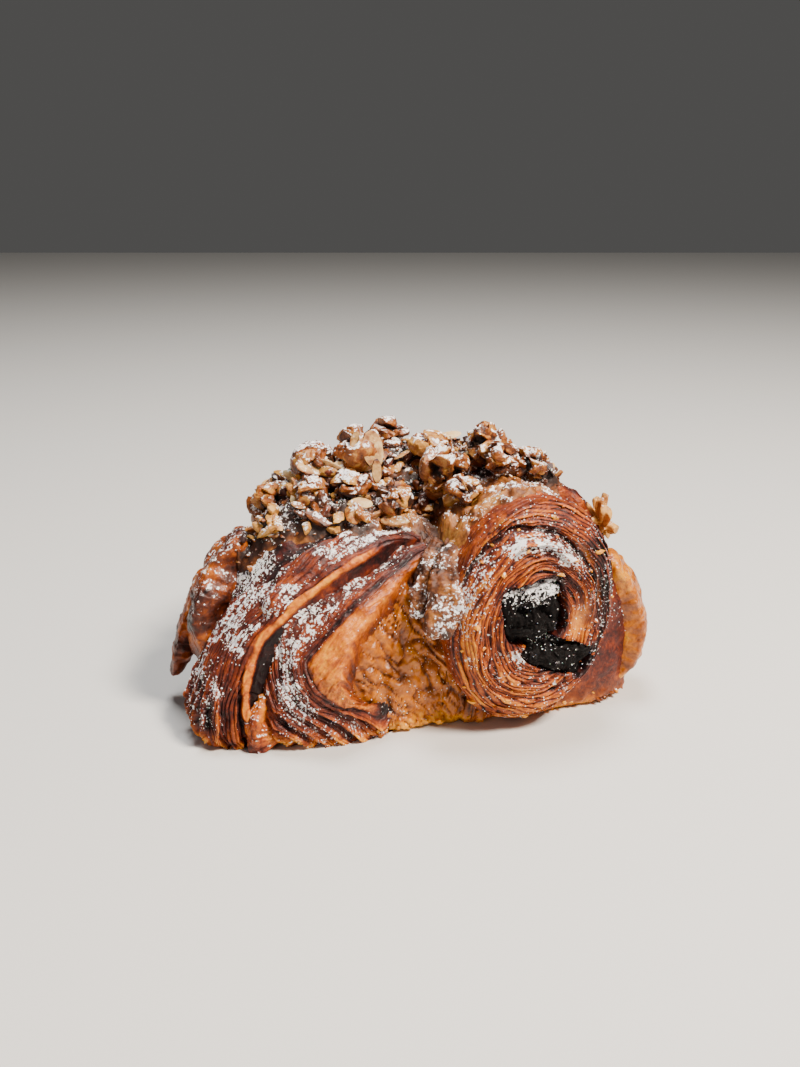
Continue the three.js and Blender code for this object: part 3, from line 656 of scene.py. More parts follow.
def right_fold():
    grid, t, across, _, turn = fold_grid(RIGHT_FOLD, FOLD_STEPS, FOLD_SIDES, swing=1)
    toe = smooth(t, 0.6, 0.88)
    lift = smooth(across, 1, 10) * smooth(t, 0.08, 0.25) * (1 - smooth(t, 0.48, 0.62))
    grid += RIGHT_RISE * lift[..., None] * RISE_WAY
    out = normals(grid)
    along = t * RIGHT_LENGTH
    fanned = across + FAN * np.clip((t - 0.54) / 0.36, 0, 1)
    stand, gap, own = sheaf(fanned, along, RIGHT_PITCH, 5)
    lapped = shingles(fanned, along, RIGHT_SHINGLE, 37)
    # The band of cut sheets lies at its left, and the torn flesh, which is pale, at its right.
    band = smooth(fanned, -3.6, -1.6)
    flesh = 1 - band
    flat = on_sheet(across, along)
    relief = 0.45 * stand * np.clip(band + 0.1, 0, 1) + 2.2 * toe * (lapped - 0.5) * band
    relief += 0.45 * rough(grid, 5, 3, 8) + flesh * 0.42 * rough(flat, (0.75, 3.2, 1), 3, 14)
    grid = raised(grid, out, relief)
    # Painted shade darkens the gaps between the band's sheets, each shingle's low edge at the toe, the right
    # side where it turns under into the valley, and the left side, which faces the left fold. The sheets that
    # stand out are lighter, partly their own tone and partly a painted highlight, and each shingle's lip is a
    # painted highlight. A darker line runs along the band's edge.
    shaded_left_side = smooth(-turn, -16, 4)
    low = 1 - smooth(grid[..., 2], 0.5, 7)
    brown = band * (0.6 + 0.14 * gap - 0.12 * own - 0.55 * toe * (lapped - 0.5))
    brown += flesh * (0.2 + 0.22 * np.clip(rough(flat, (0.9, 4, 1), 2, 16), 0, 1))
    brown += 0.35 * smooth(turn, 176, 200) + 0.35 * shaded_left_side + 0.2 * np.exp(-(((fanned + 2.4) / 1.5) ** 2))
    brown -= 0.42 * low * sifted(grid, 3, 49, -0.7, 0.2, 2)
    sugar = sifted(grid, 6, 43) * (0.58 * band + 0.04) * (1 - 0.4 * gap) * (1 - 0.45 * toe)
    sugar *= (1 - 0.85 * np.exp(-(((fanned + 1.2) / 2.0) ** 2))) * smooth(np.abs(turn), 2, 12)
    marks = {"brown": brown, "amber": 0.35 * flesh, "sugar": sugar, "layers": fanned,
             "cut": np.clip(band, 0.1, 1) * (1 - 0.5 * shaded_left_side)}
    return skin("dough_right_fold", grid, marks, DOUGH)


FOLDS.append(right_fold())
print("right fold:", len(FOLDS[1].data.polygons), "faces")


# %% The petal, the glassy skirt, the glassy sheet and the hanging flake
def small_fold(name, sizes, points, brown, amber, sugar, seed, bubbles, ragged, lined=0.4):
    grid, t, across = fold_grid(sizes, *points)[:3]
    out = normals(grid)
    # Ragged edges: each side of the section reaches a little less or more as it runs along.
    tear = noise(on_sheet(t * 9, np.sign(across)), 1, seed + 5)
    tear = tear + 0.5 * noise(on_sheet(t * 27, np.sign(across)), 1, seed + 6)
    middle = grid.mean(1, keepdims=True)
    grid = middle + (grid - middle) * (1 + ragged * tear * np.abs(across) / np.abs(across).max())[..., None]
    relief = bubbles * (np.abs(noise(grid, 2.4, seed)) + 0.5 * np.abs(noise(grid, 1.1, seed + 1)) - 0.4)
    grid = raised(grid, out, relief + 0.7 * rough(grid, 5, 3, seed + 2))
    up = normals(grid)[..., 2]
    marks = {"brown": brown + 0.3 * rough(grid, 4, 3, seed + 3), "amber": amber + 0 * t,
             "sugar": sugar * smooth(up, 0, 0.7), "layers": across, "cut": lined + 0 * t}
    return skin(name, grid, marks, DOUGH)


SMALL_FOLDS = {
    "dough_petal": dict(sizes=PETAL, points=(90, 60), brown=0.46, amber=0.0, sugar=0.4, seed=51,
                        bubbles=0.7, ragged=0.3, lined=1.0),
    "dough_skirt": dict(sizes=SKIRT, points=(160, 90), brown=0.3, amber=1.0, sugar=0.0, seed=61,
                        bubbles=0.35, ragged=0.06),
    "dough_sheet": dict(sizes=SHEET, points=(160, 110), brown=0.62, amber=0.5, sugar=0.42, seed=65,
                        bubbles=0.55, ragged=0.0),
    "dough_flake": dict(sizes=FLAKE, points=(150, 100), brown=0.55, amber=0.3, sugar=0.1, seed=71,
                        bubbles=0.3, ragged=0.32),
}
FOLDS += [small_fold(name, **sizes) for name, sizes in SMALL_FOLDS.items()]
print("small folds:", [len(fold.data.polygons) for fold in FOLDS[2:]])

# %% [markdown]
# ## The rolled end
#
# The dough was rolled up like a carpet, so its end shows a spiral. Each turn of the roll stands out a
# little from the groove beside it, and is itself a stack of sheets, seen as fine rings. The face is a
# polar grid: a share of the radius, and a turn round the middle.

# %% The roll's sizes
ROLL_AT = np.array([27.4, -33.0, 28.2])
ROLL_WIDTH, ROLL_HEIGHT, ROLL_LENGTH = 40.0, 52.5, 40.0
ROLL_TURN, ROLL_TILT = math.radians(20), math.radians(9)
FACE_BULGE, RIM_ROUNDING = 3.4, 3.6
POCKET = 4  # millimetres that the face is sunk round the chocolate
ROLL_SIDES, FACE_RINGS = 460, 160
ROLL_SHEETS, SHEET_PITCH = 26, 0.9  # from the middle to the rim, and from sheet to sheet, in one measure
ROLL_RADIUS = 22  # millimetres, on the average
ROLL_AXIS = np.array([math.sin(ROLL_TURN), -math.cos(ROLL_TURN), 0])
ROLL_ACROSS = np.array([math.cos(ROLL_TURN), math.sin(ROLL_TURN), 0])


def roll_point(forward, share, turn):
    wide = ROLL_WIDTH / 2 * share * np.cos(turn)
    high = ROLL_HEIGHT / 2 * share * np.sin(turn)
    aside = wide * math.cos(ROLL_TILT) + high * math.sin(ROLL_TILT)
    upward = high * math.cos(ROLL_TILT) - wide * math.sin(ROLL_TILT)
    p = ROLL_AT + forward[..., None] * ROLL_AXIS + aside[..., None] * ROLL_ACROSS
    return p + upward[..., None] * np.array([0, 0, 1.0])


print("roll:", ROLL_WIDTH, "by", ROLL_HEIGHT, "mm, turned by", round(math.degrees(ROLL_TURN)), "degrees")

# %% The chocolate's sizes
STICKS = {
    "chocolate_upper": dict(x=-2.8, z=31.0, wide=13.4, high=12.8, tilt=8, proud=2.6, pocked=0.8),
    "chocolate_lower": dict(x=3.5, z=19.8, wide=16.5, high=7.2, tilt=-24, proud=1.8, pocked=0.45),
}
CORNERED = 4.0  # the power that gives the bars' rounded corners: 2 is an ellipse


def beside_chocolate(aside, z):
    """How far out from the middle of the nearer stick a point of the face is: 1 at its edge."""
    nearest = np.full(aside.shape, 9.0)
    for s in STICKS.values():
        lean = math.radians(s["tilt"])
        a, u = aside - s["x"], z - s["z"]
        along, up = a * math.cos(lean) + u * math.sin(lean), u * math.cos(lean) - a * math.sin(lean)
        shape = np.abs(2 * along / s["wide"]) ** CORNERED + np.abs(2 * up / s["high"]) ** CORNERED
        nearest = np.minimum(nearest, shape ** (1 / CORNERED))
    return nearest


print("the middle of the face lies", beside_chocolate(np.zeros(1), np.full(1, ROLL_AT[2])).round(2), "out")

# %% Where a sheet of the roll lies
# The inner disc is bounded by a groove that leaves the right of the face, climbs over the top and
# reaches the rim at the left. Its share of the radius is given at turns in radians from the right.
SEAM = 0.1
GROOVE = [
    (-SEAM, 0.65), (1.17, 0.66), (1.6, 0.76), (2.09, 0.87), (2.65, 0.93), (3.2, 1.0), (2 * math.pi, 1.0),
]
CORE = 0.3  # the share of the radius that the chocolate takes


def sheet_of(share, turn):
    """The sheet's place as a share of the radius at the left, the groove's share, and the turn."""
    turned = np.mod(turn + SEAM, 2 * np.pi) - SEAM
    groove = np.interp(turned, *np.array(GROOVE).T)
    within_core = np.where(share > CORE, CORE + (share - CORE) * (1 - CORE) / (groove - CORE), share)
    beyond = GROOVE[0][1] + (share - groove) * (1 - GROOVE[0][1]) / np.maximum(1 - groove, 0.02)
    spiral = np.where(share < groove, within_core, beyond)
    return np.where(turned > GROOVE[-2][0], share, spiral), groove, turned


def patch(share, turn, at, towards, wide, long):
    """1 in the middle of an oval patch of the face, falling to 0 outside it."""
    return np.exp(-(((share - at) / wide) ** 2) - ((turn - towards) / long) ** 2)


print("sheets from the middle to the rim:", round(ROLL_SHEETS / SHEET_PITCH))


# %% The roll's form
def roll_base():
    """The roll before any relief: how far forward, share, turn and face say where each point belongs."""
    turn = 2 * np.pi * np.arange(ROLL_SIDES) / ROLL_SIDES
    back = np.array([*np.linspace(1, 0.3, 12), *np.linspace(0.28, 0.11, 26)])
    inward = 1 - np.arange(FACE_RINGS) / FACE_RINGS
    share = np.concatenate([1.01 - 0.16 * smooth(back, 0.1, 1), inward])
    forward = np.concatenate([-ROLL_LENGTH * back, 0 * inward])[:, None]
    face = np.concatenate([0 * back, 1 + 0 * inward])[:, None]
    share, turn = np.meshgrid(share, turn, indexing="ij")
    return forward, share, turn, face, roll_point(forward + 0 * share, share, turn)


# %% The roll's surface
def roll():
    forward, share, turn, face, base = roll_base()
    uneven = share + 0.035 * noise(base, 10, 2) + 0.012 * noise(base, 3, 3)
    place, groove, turned = sheet_of(uneven, turn)
    layer = ROLL_SHEETS * place
    # The groove, the arch of dough inside it, two hollows and a glassy patch break the rings.
    open_ = smooth(turned, -0.1, 0.4) * (1 - smooth(turned, 2.75, 3.15))
    crease = open_ * np.exp(-(((uneven - groove - 0.01) / 0.026) ** 2))
    arch = open_ * np.exp(-(((uneven - groove + 0.11) / 0.08) ** 2))
    hollows = patch(uneven, turned, 0.72, 0.95, 0.035, 0.2) + patch(uneven, turned, 0.72, 0.35, 0.03, 0.22)
    amber = patch(share, np.mod(turn + 1, 2 * np.pi) - 1, 0.44, 0.0, 0.13, 0.42)
    plain = np.clip(amber + hollows, 0, 1)
    stand, gap, own = sheaf(layer, ROLL_RADIUS * place * turned, SHEET_PITCH, 17, 7)
    lined = smooth(share, 0.15, 0.3) * (1 - plain)
    beside = beside_chocolate((base - ROLL_AT) @ ROLL_ACROSS, base[..., 2])
    pocket = 1 - smooth(beside, 1.03, 1.14)
    bulge = FACE_BULGE * (1 - share**2) - RIM_ROUNDING * smooth(share, 0.76, 1) ** 2
    bulge = bulge + 1.5 * arch - 2.0 * crease - 1.6 * hollows - 1.8 * amber
    bulge = bulge + 0.6 * stand * lined + 0.3 * rough(base, 3.5, 2, 19)
    grid = roll_point(forward + face * (bulge * (1 - pocket) - POCKET * pocket), share, turn)
    shell_stand, shell_gap, _ = sheaf(forward + 0 * share, share * ROLL_RADIUS * turn, 1.6, 29)
    shell = 0.45 * rough(grid, 5, 3, 25) + 0.35 * shell_stand * smooth(forward, -14, -2)
    grid = raised(grid, normals(grid), (1 - face) * shell)
    # It browned at the right and is darker in the groove, and stayed pale below and at the left. Painted
    # shade darkens the gaps between the sheets, on the face and on the shell, and the sheets that stand out
    # are lighter, partly their own tone and partly a painted highlight.
    pale = np.clip(smooth(-np.sin(turn), -0.2, 0.8) + smooth(-np.cos(turn), 0.0, 0.9), 0, 1)
    right = smooth(np.cos(turn), 0.1, 0.9) * smooth(share, 0.5, 0.8)
    stain = 1 - smooth(beside, 1.08, 1.35)
    brown = 0.44 - 0.13 * pale + 0.4 * crease + 0.34 * right + (0.42 * gap - 0.24 * own) * lined
    brown = brown + 0.35 * stain - 0.3 * plain + 0.22 * patch(share, turn, 0.42, 1.6, 0.1, 0.7)
    brown = brown * face + (1 - face) * (0.5 + 0.1 * shell_gap)
    top = np.exp(-(((uneven - groove + 0.1) / 0.085) ** 2))
    top = top * smooth(turned, 0.8, 1.2) * (1 - smooth(turned, 2.5, 2.9))
    rim = patch(share, turn, 0.93, 3.05, 0.1, 0.35)
    under = patch(share, turn, 0.42, 3.95, 0.07, 0.42)
    sugar = (0.2 + 0.52 * top + 0.36 * rim + 0.5 * under + 0.1 * right) * sifted(base, 4, 45, -0.9, 0.1, 2)
    sugar = face * sugar + (1 - face) * 0.12
    marks = {"brown": brown, "amber": plain * face, "sugar": sugar * (1 - pocket),
             "layers": face * layer + (1 - face) * forward, "cut": (0.75 * face + 0.25) * (1 - amber)}
    return skin("dough_rolled_end", grid, marks, DOUGH)


ROLL = roll()
print("roll:", len(ROLL.data.polygons), "faces")

# %% [markdown]
# ## The chocolate
#
# Two sticks of chocolate run through the roll and show at its end as broken, black, grainy blocks. Each
# is a rounded bar, cut into a fine grid, with its end broken off unevenly. Dull chocolate that has
# melted and set again has almost no gloss.

# %% Chocolate
CHOCOLATE_BLACKS = [(0.3, "#010000"), (0.55, "#050202"), (0.8, "#21110f")]


def dark_chocolate():
    made, tree, point = material("dark_chocolate", {"Specular IOR Level": 0.12})
    grain = node(tree, "ShaderNodeTexNoise", {"Vector": point, "Scale": 1 / 0.5, "Detail": 4})
    colour = node(tree, "ShaderNodeValToRGB", grain, stops=CHOCOLATE_BLACKS)
    dull = node(tree, "ShaderNodeMath", grain, 0.3, 0.45, operation="MULTIPLY_ADD")
    dusted(tree, point, colour, dull, grain, raised=1.0, strength=0.8)
    return made


CHOCOLATE = dark_chocolate()
STICK_SIDES, STICK_RINGS, BROKEN_RINGS = 200, 30, 46
ROUNDED = 0.42  # the power of sine and cosine that gives a rounded bar: 1 is an ellipse, 0 a box
BURIED = 0.7  # the share of the roll's length that a stick runs back
SMEARED = 2  # a stick this many times as wide as high lies in the roll's shadow and takes less sugar


def stick(name, x, z, wide, high, tilt, proud, pocked):
    turn = 2 * np.pi * np.arange(STICK_SIDES) / STICK_SIDES
    across = wide / 2 * np.sign(np.cos(turn)) * np.abs(np.cos(turn)) ** ROUNDED
    upward = high / 2 * np.sign(np.sin(turn)) * np.abs(np.sin(turn)) ** ROUNDED
    broken = np.linspace(1, 0.02, BROKEN_RINGS)
    share = np.concatenate([np.ones(STICK_RINGS), broken])[:, None]
    side = proud - np.linspace(ROLL_LENGTH * BURIED, 1.6, STICK_RINGS)
    forward = np.concatenate([side, proud + 0.6 - 2.0 * broken**2.6])[:, None]
    lean = math.radians(tilt)
    aside = x + share * (across * math.cos(lean) - upward * math.sin(lean))
    above = share * (across * math.sin(lean) + upward * math.cos(lean))
    grid = ROLL_AT + aside[..., None] * ROLL_ACROSS + forward[..., None] * ROLL_AXIS
    grid[..., 2] = z + above
    front = smooth(forward, proud - 4, proud - 1)
    pits = 1.9 * pocked * np.clip(-rough(grid, 1.7, 3, 81), -0.2, 1) + 1.5 * rough(grid, 4.5, 2, 83)
    crumbs = 0.6 * np.abs(noise(grid, 0.9, 85))
    grid = grid - normals(grid) * ((pits - crumbs) * front)[..., None]
    up = np.clip((above - 0.5) / (high / 2), 0, 1)
    sugar = front * (0.1 + (0.75 if wide < SMEARED * high else 0.2) * up)
    return skin(name, grid, {"sugar": sugar}, CHOCOLATE)


CHOCOLATE_STICKS = {name: stick(name, **sizes) for name, sizes in STICKS.items()}
print("chocolate:", {name: len(o.data.polygons) for name, o in CHOCOLATE_STICKS.items()})

# %% [markdown]
# ## Frangipane
#
# Frangipane is ground nuts, butter, sugar and egg. Spread on and baked, it bubbles, browns and runs down
# the front in drips. It is laid on the dough by dropping a ray at each point of a polar grid, then
# raising the hit by the layer's thickness. Bubbles are what is left of noise above zero. Ground nuts
# give it a grain of under a millimetre, and the butter in it lets a little light through.

# %% Frangipane
FRANGIPANE_BROWNS = [(0.15, "#cd984a"), (0.36, "#a46526"), (0.56, "#69350e"), (0.78, "#281005")]


def frangipane():
    made, tree, point = material("hazelnut_frangipane_baked", {
        "Subsurface Weight": 0.1, "Subsurface Radius": (1.0, 0.6, 0.3), "Subsurface Scale": 1.5 * MM})
    tone = node(tree, "ShaderNodeTexNoise", {"Vector": point, "Scale": 1 / 3.4, "Detail": 3})
    crumb = node(tree, "ShaderNodeTexNoise", {"Vector": point, "Scale": 1 / 0.8, "Detail": 3})
    brown = node(tree, "ShaderNodeAttribute", out="Fac", attribute_name="brown")
    mixed = node(tree, "ShaderNodeMath", brown, 0.7, -0.35, operation="MULTIPLY_ADD")
    mixed = node(tree, "ShaderNodeMath", crumb, 0.4, mixed, operation="MULTIPLY_ADD")
    mixed = node(tree, "ShaderNodeMath", tone, 0.6, mixed, operation="MULTIPLY_ADD")
    colour = node(tree, "ShaderNodeValToRGB", mixed, stops=FRANGIPANE_BROWNS)
    gloss = node(tree, "ShaderNodeMath", tone, -0.2, 0.68, operation="MULTIPLY_ADD")
    dusted(tree, point, colour, gloss, crumb, raised=0.8, strength=0.6)
    return made


FRANGIPANE = frangipane()


def tree_of(objects):
    """One search tree over several finished meshes, in metres."""
    corners, faces = [], []
    for one in objects:
        first = len(corners)
        corners += [v.co.copy() for v in one.data.vertices]
        faces += [[first + i for i in p.vertices] for p in one.data.polygons]
    return BVHTree.FromPolygons(corners, faces)


BAKED = tree_of([WRAPS, *FOLDS, ROLL])
ABOVE = 80.0  # millimetres: higher than any dough


def height_under(x, y):
    """The height of the baked dough under (x, y), in millimetres."""
    start = Vector(((x - MIDDLE[0]) * MM, (y - MIDDLE[1]) * MM, ABOVE * MM))
    hit = BAKED.ray_cast(start, Vector((0, 0, -1)))[0]
    return hit.z / MM if hit else 0


print("the dough is", round(height_under(0, 0), 1), "millimetres high in the middle")

# %% The frangipane's cap
CAP_AT, CAP_THICK = np.array([-2.0, 0.0]), 4.0
CAP_REACH = [
    (0, 37), (40, 33), (90, 25), (140, 32), (180, 41), (206, 42), (222, 34),
    (238, 26), (256, 18), (278, 19), (296, 31), (318, 39), (340, 39), (360, 37),
]
CAP_COLUMNS, CAP_RINGS = 440, 120
CAP_SUNK = 0.9  # millimetres that the layer has soaked into the dough
BARE_TOWARDS = 300  # degrees: where the strip above the roll lies, which is bare of nuts
BARE_THINNER = 1.3  # millimetres
UNDERSIDE = 1.6  # millimetres below the dough's surface, where the layer is closed


def frangipane_cap():
    angle = 360 * np.arange(CAP_COLUMNS) / CAP_COLUMNS
    share = np.linspace(1, 0.01, CAP_RINGS)[:, None]
    waves = 0.05 * np.sin(np.radians(angle * 9)) + 0.015 * np.sin(np.radians(angle * 23 + 50))
    reach = outline(CAP_REACH, angle) * (1 + waves)
    theta = np.radians(angle)
    x = CAP_AT[0] + share * reach * np.cos(theta)
    y = CAP_AT[1] + share * reach * np.sin(theta)
    under = np.array([[height_under(a, b) for a, b in zip(r, s)] for r, s in zip(x, y)])
    floor = np.stack([x, y, under], -1)
    # The honey-coloured strip above the roll is bare of nuts, thinner, grainy and full of pores.
    bare = smooth(np.cos(theta - math.radians(BARE_TOWARDS)), 0.35, 0.75) * smooth(share, 0.2, 0.45)
    thick = CAP_THICK * np.sqrt(1 - 0.93 * share**6) + 0.6 * wobble(floor, 2.6)
    lumps = 1.3 * rough(floor, 4.5, 3, 91) + 0.8 * np.clip(noise(floor, 2.2, 93), 0, 1)
    lumps = lumps + 0.45 * noise(floor, 1.2, 94)
    pores = 0.5 * rough(floor, 1.1, 2, 98) - 0.9 * smooth(noise(floor, 1.7, 100), 0.35, 0.6)
    pores = pores - np.clip(noise(floor, 1.7, 97) - 0.3, 0, 1)
    edge = smooth(1 - share, 0, 0.06)
    rise = thick - CAP_SUNK + lumps * (1 - 0.45 * bare) + (pores - BARE_THINNER) * bare
    top = floor + np.array([0, 0, 1.0]) * (rise * (0.15 + 0.85 * edge))[..., None]
    bottom = floor[::-6] - np.array([0, 0, UNDERSIDE])
    grid = np.vstack([bottom, top])
    hidden = np.zeros(bottom.shape[:2])
    nutty = np.vstack([hidden, (1 - bare) * (0.4 + 0.6 * edge)])
    bare = np.vstack([hidden, bare])
    up = np.vstack([hidden, smooth(normals(top)[..., 2], 0.3, 0.9)])
    brown = 0.5 + 0.35 * rough(grid, 5, 2, 95) + 0.45 * nutty - 0.02 * bare
    sugar = up * (0.55 * nutty + 0.58 * bare) * sifted(grid, 5, 99, -0.7, 0.3)
    return skin("frangipane_cap", grid, {"brown": brown, "sugar": sugar, "nuts": nutty}, FRANGIPANE)


CAP = frangipane_cap()
DRIPS = [
    dict(spine=[(12, -12, 45), (10.5, -19, 44), (8.8, -26.5, 41), (7, -33, 37), (5.4, -37.5, 31.5),
                (4.2, -39, 26)],
         left=(3, 3.4, 4.2, 3), right=(3, 3.4, 4.2, 3), out=(2, 1.6, 2), deep=(4, 5, 4)),
    dict(spine=[(5, -20, 43), (2.5, -26.5, 39.5), (0.8, -31.5, 34.5), (0, -34, 28.5)],
         left=(2, 1.5, 2.2), right=(2, 1.3, 2), out=(0.6, 0.4, 0.9), deep=(3, 4, 3)),
]


def drip(number, sizes):
    grid = fold_grid(sizes, 160, 90, 1.0)[0]
    uneven = 0.9 * rough(grid, 3.6, 3, 101 + number) + 0.3 * rough(grid, 1.0, 2, 107)
    grid = grid + normals(grid) * uneven[..., None]
    marks = {"brown": 0.68 + 0.3 * rough(grid, 3, 2, 103), "sugar": 0.46 * sifted(grid, 4, 105, -0.7, 0.2, 2)}
    return skin(f"frangipane_drip_{number + 1}", grid, marks, FRANGIPANE)


DRIP_PIECES = [drip(i, sizes) for i, sizes in enumerate(DRIPS)]
print("frangipane:", len(CAP.data.polygons), "faces and", len(DRIP_PIECES), "drips")

# %% [markdown]
# ## Hazelnuts
#
# The nuts were chopped, so they lie about as broken chunks: pale where cut, dark where roasted or
# caramelised, and with some of their red skin. A chunk is a ball pushed in by several planes, which
# leaves flat broken faces with worn edges. The oil in a nut gives its cut face a soft waxy look, and
# caramel makes it darker and glossier.

# %% Hazelnut
CARAMEL_BROWNS = [(0.12, "#150602"), (0.32, "#4a2007"), (0.5, "#904c16"), (0.72, "#d19a48")]
CUT_BROWNS = [(0.06, "#360f08"), (0.28, "#8f5524"), (0.48, "#c6985a"), (0.75, "#e6cb98")]
SKIN_BROWNS = [(0.3, "#2c100b"), (0.55, "#5b2617"), (0.8, "#8f4a2a")]


def hazelnut(name, browns, waxy, gloss):
    """Waxy is how much light goes through the surface, and gloss its least roughness."""
    made, tree, point = material(name, {"Subsurface Weight": waxy, "Subsurface Scale": 1.5 * MM})
    tone = node(tree, "ShaderNodeTexNoise", {"Vector": point, "Scale": 1 / 2.2, "Detail": 3})
    fine = node(tree, "ShaderNodeTexNoise", {"Vector": point, "Scale": 1 / 0.5, "Detail": 3})
    brown = node(tree, "ShaderNodeAttribute", out="Fac", attribute_name="brown")
    mixed = node(tree, "ShaderNodeMath", brown, -0.5, operation="MULTIPLY")
    mixed = node(tree, "ShaderNodeMath", fine, 0.3, mixed, operation="MULTIPLY_ADD")
    mixed = node(tree, "ShaderNodeMath", tone, 0.7, mixed, operation="MULTIPLY_ADD")
    colour = node(tree, "ShaderNodeValToRGB", mixed, stops=browns)
    dull = node(tree, "ShaderNodeMath", fine, 0.2, gloss, operation="MULTIPLY_ADD")
    dusted(tree, point, colour, dull, fine, raised=0.8, strength=0.5, deep=0.25)
    return made


CARAMEL = hazelnut("hazelnut_caramelised", CARAMEL_BROWNS, 0.05, 0.34)
CUT_NUT = hazelnut("hazelnut_cut", CUT_BROWNS, 0.15, 0.5)
NUT_SKIN = hazelnut("hazelnut_skin", SKIN_BROWNS, 0.02, 0.45)
print("nut finishes:", CARAMEL.name, CUT_NUT.name, NUT_SKIN.name)


# %% A broken chunk
def ball(rings, columns):
    """A ball's directions, in rings from top to bottom."""
    tilt = np.pi * (np.arange(rings) + 0.5) / rings
    turn = 2 * np.pi * np.arange(columns) / columns
    tilt, turn = np.meshgrid(tilt, turn, indexing="ij")
    return np.stack([np.sin(tilt) * np.cos(turn), np.sin(tilt) * np.sin(turn), np.cos(tilt)], -1)


def chipped(way, rng, planes, nearest):
    """How far a ball of size 1 reaches in each direction once planes have cut flat faces on it."""
    reach = np.ones(way.shape[:-1])
    for _ in range(planes):
        cut = rng.normal(size=3)
        facing = way @ (cut / np.linalg.norm(cut))
        far = rng.uniform(nearest, 0.95)
        reach = np.minimum(reach, np.where(facing > 0.05, far / np.maximum(facing, 0.05), 9))
    return reach


trial = chipped(ball(9, 14), np.random.default_rng(1), 10, 0.3)
print(f"a chunk reaches from {trial.min():.2f} to {trial.max():.2f} of its ball")

# %% The large clusters
CLUSTER_COUNT, CLUSTER_CHUNKS, CHUNK_SIDES = 16, 26, 11
CHUNK_OUT = (0.5, 0.78)  # how far out a chunk's middle lies, as a share of the cluster's half size
CHUNK_SIZE = (0.16, 0.36)  # how far its sides lie from its middle, by the same measure
CLUSTER_CORE, CLUSTER_REACH = 0.5, 1.08  # the least and the greatest reach, by the same measure


def box_of(name):
    """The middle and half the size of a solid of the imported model, in millimetres."""
    low, high = (np.array(corner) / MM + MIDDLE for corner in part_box(name))
    return (low + high) / 2, (high - low) / 2


def nearest_exit(way, centre, cuts, far):
    """How far along each direction a ray from the origin leaves a chunk with flat sides, or 0 on a miss."""
    facing = way @ cuts.T
    along = (far + cuts @ centre) / np.where(np.abs(facing) < 1e-6, 1e-6, facing)
    leaves = np.min(np.where(facing > 0, along, 9), axis=-1)
    enters = np.max(np.where(facing < 0, along, -9), axis=-1)
    return np.where(leaves > np.maximum(enters, 0), leaves, 0)


def cluster(number):
    """Chunks stuck together: each direction reaches to the farthest chunk that it leaves."""
    middle, half = box_of(f"nut_cluster_{number}")
    rng = np.random.default_rng(200 + number)
    way = ball(72, 130)
    reach = CLUSTER_CORE + 0 * way[..., 0]
    tone = 0.55 + 0 * reach
    for _ in range(CLUSTER_CHUNKS):
        centre = rng.normal(size=3)
        centre *= rng.uniform(*CHUNK_OUT) / np.linalg.norm(centre)
        cuts = rng.normal(size=(CHUNK_SIDES, 3))
        cuts /= np.linalg.norm(cuts, axis=1, keepdims=True)
        far = rng.uniform(*CHUNK_SIZE) * rng.uniform(0.7, 1.15, CHUNK_SIDES)
        leaves = nearest_exit(way, centre, cuts, far)
        tone = np.where(leaves > reach, rng.uniform(-0.3, 0.4), tone)
        reach = np.maximum(reach, leaves)
    # Painted shade darkens the creases between the chunks.
    shaded_creases = 1 - smooth(reach, 0.55, 0.85)
    grid = middle + way * half * np.minimum(reach, CLUSTER_REACH)[..., None]
    grid = grid + way * (0.2 * rough(grid, 1.0, 3, number + 50))[..., None]
    up = smooth(normals(grid)[..., 2], 0.0, 0.7)
    sugar = up * (0.66 - 0.5 * shaded_creases) * sifted(grid, 3, number + 70, -0.8, 0.3, 2)
    marks = {"sugar": sugar, "brown": tone + 0.6 * shaded_creases, "nuts": 0.6 * up}
    made = skin(f"nut_cluster_{number}", grid, marks, CARAMEL)
    made.data.set_sharp_from_angle(angle=math.radians(30))
    return made


CLUSTERS = {f"nut_cluster_{n}": cluster(n) for n in range(1, CLUSTER_COUNT + 1)}
print("clusters:", sum(len(o.data.polygons) for o in CLUSTERS.values()), "faces")

# %% [markdown]
# ### Scattered pieces
#
# Chopped nuts, crumbs and sugar grains all lie on a surface at random, so one tree of Geometry Nodes
# places them all. It drops points where a mark on the surface allows, no two nearer than a given
# distance, puts one of several shapes at each, turns and sizes it by chance, and makes it all one mesh.

# %% The scatter tree
TREE_INPUTS = {
    "Surface": "Geometry", "Shapes": "Collection", "Mark": "String", "Apart": "Float", "Density": "Float",
    "Smallest": "Float", "Largest": "Float", "Rise": "Float", "Finish": "Material", "Seed": "Int",
}
TIP = 0.8  # radians that a piece may lean either way, so that a sugared top stays on top


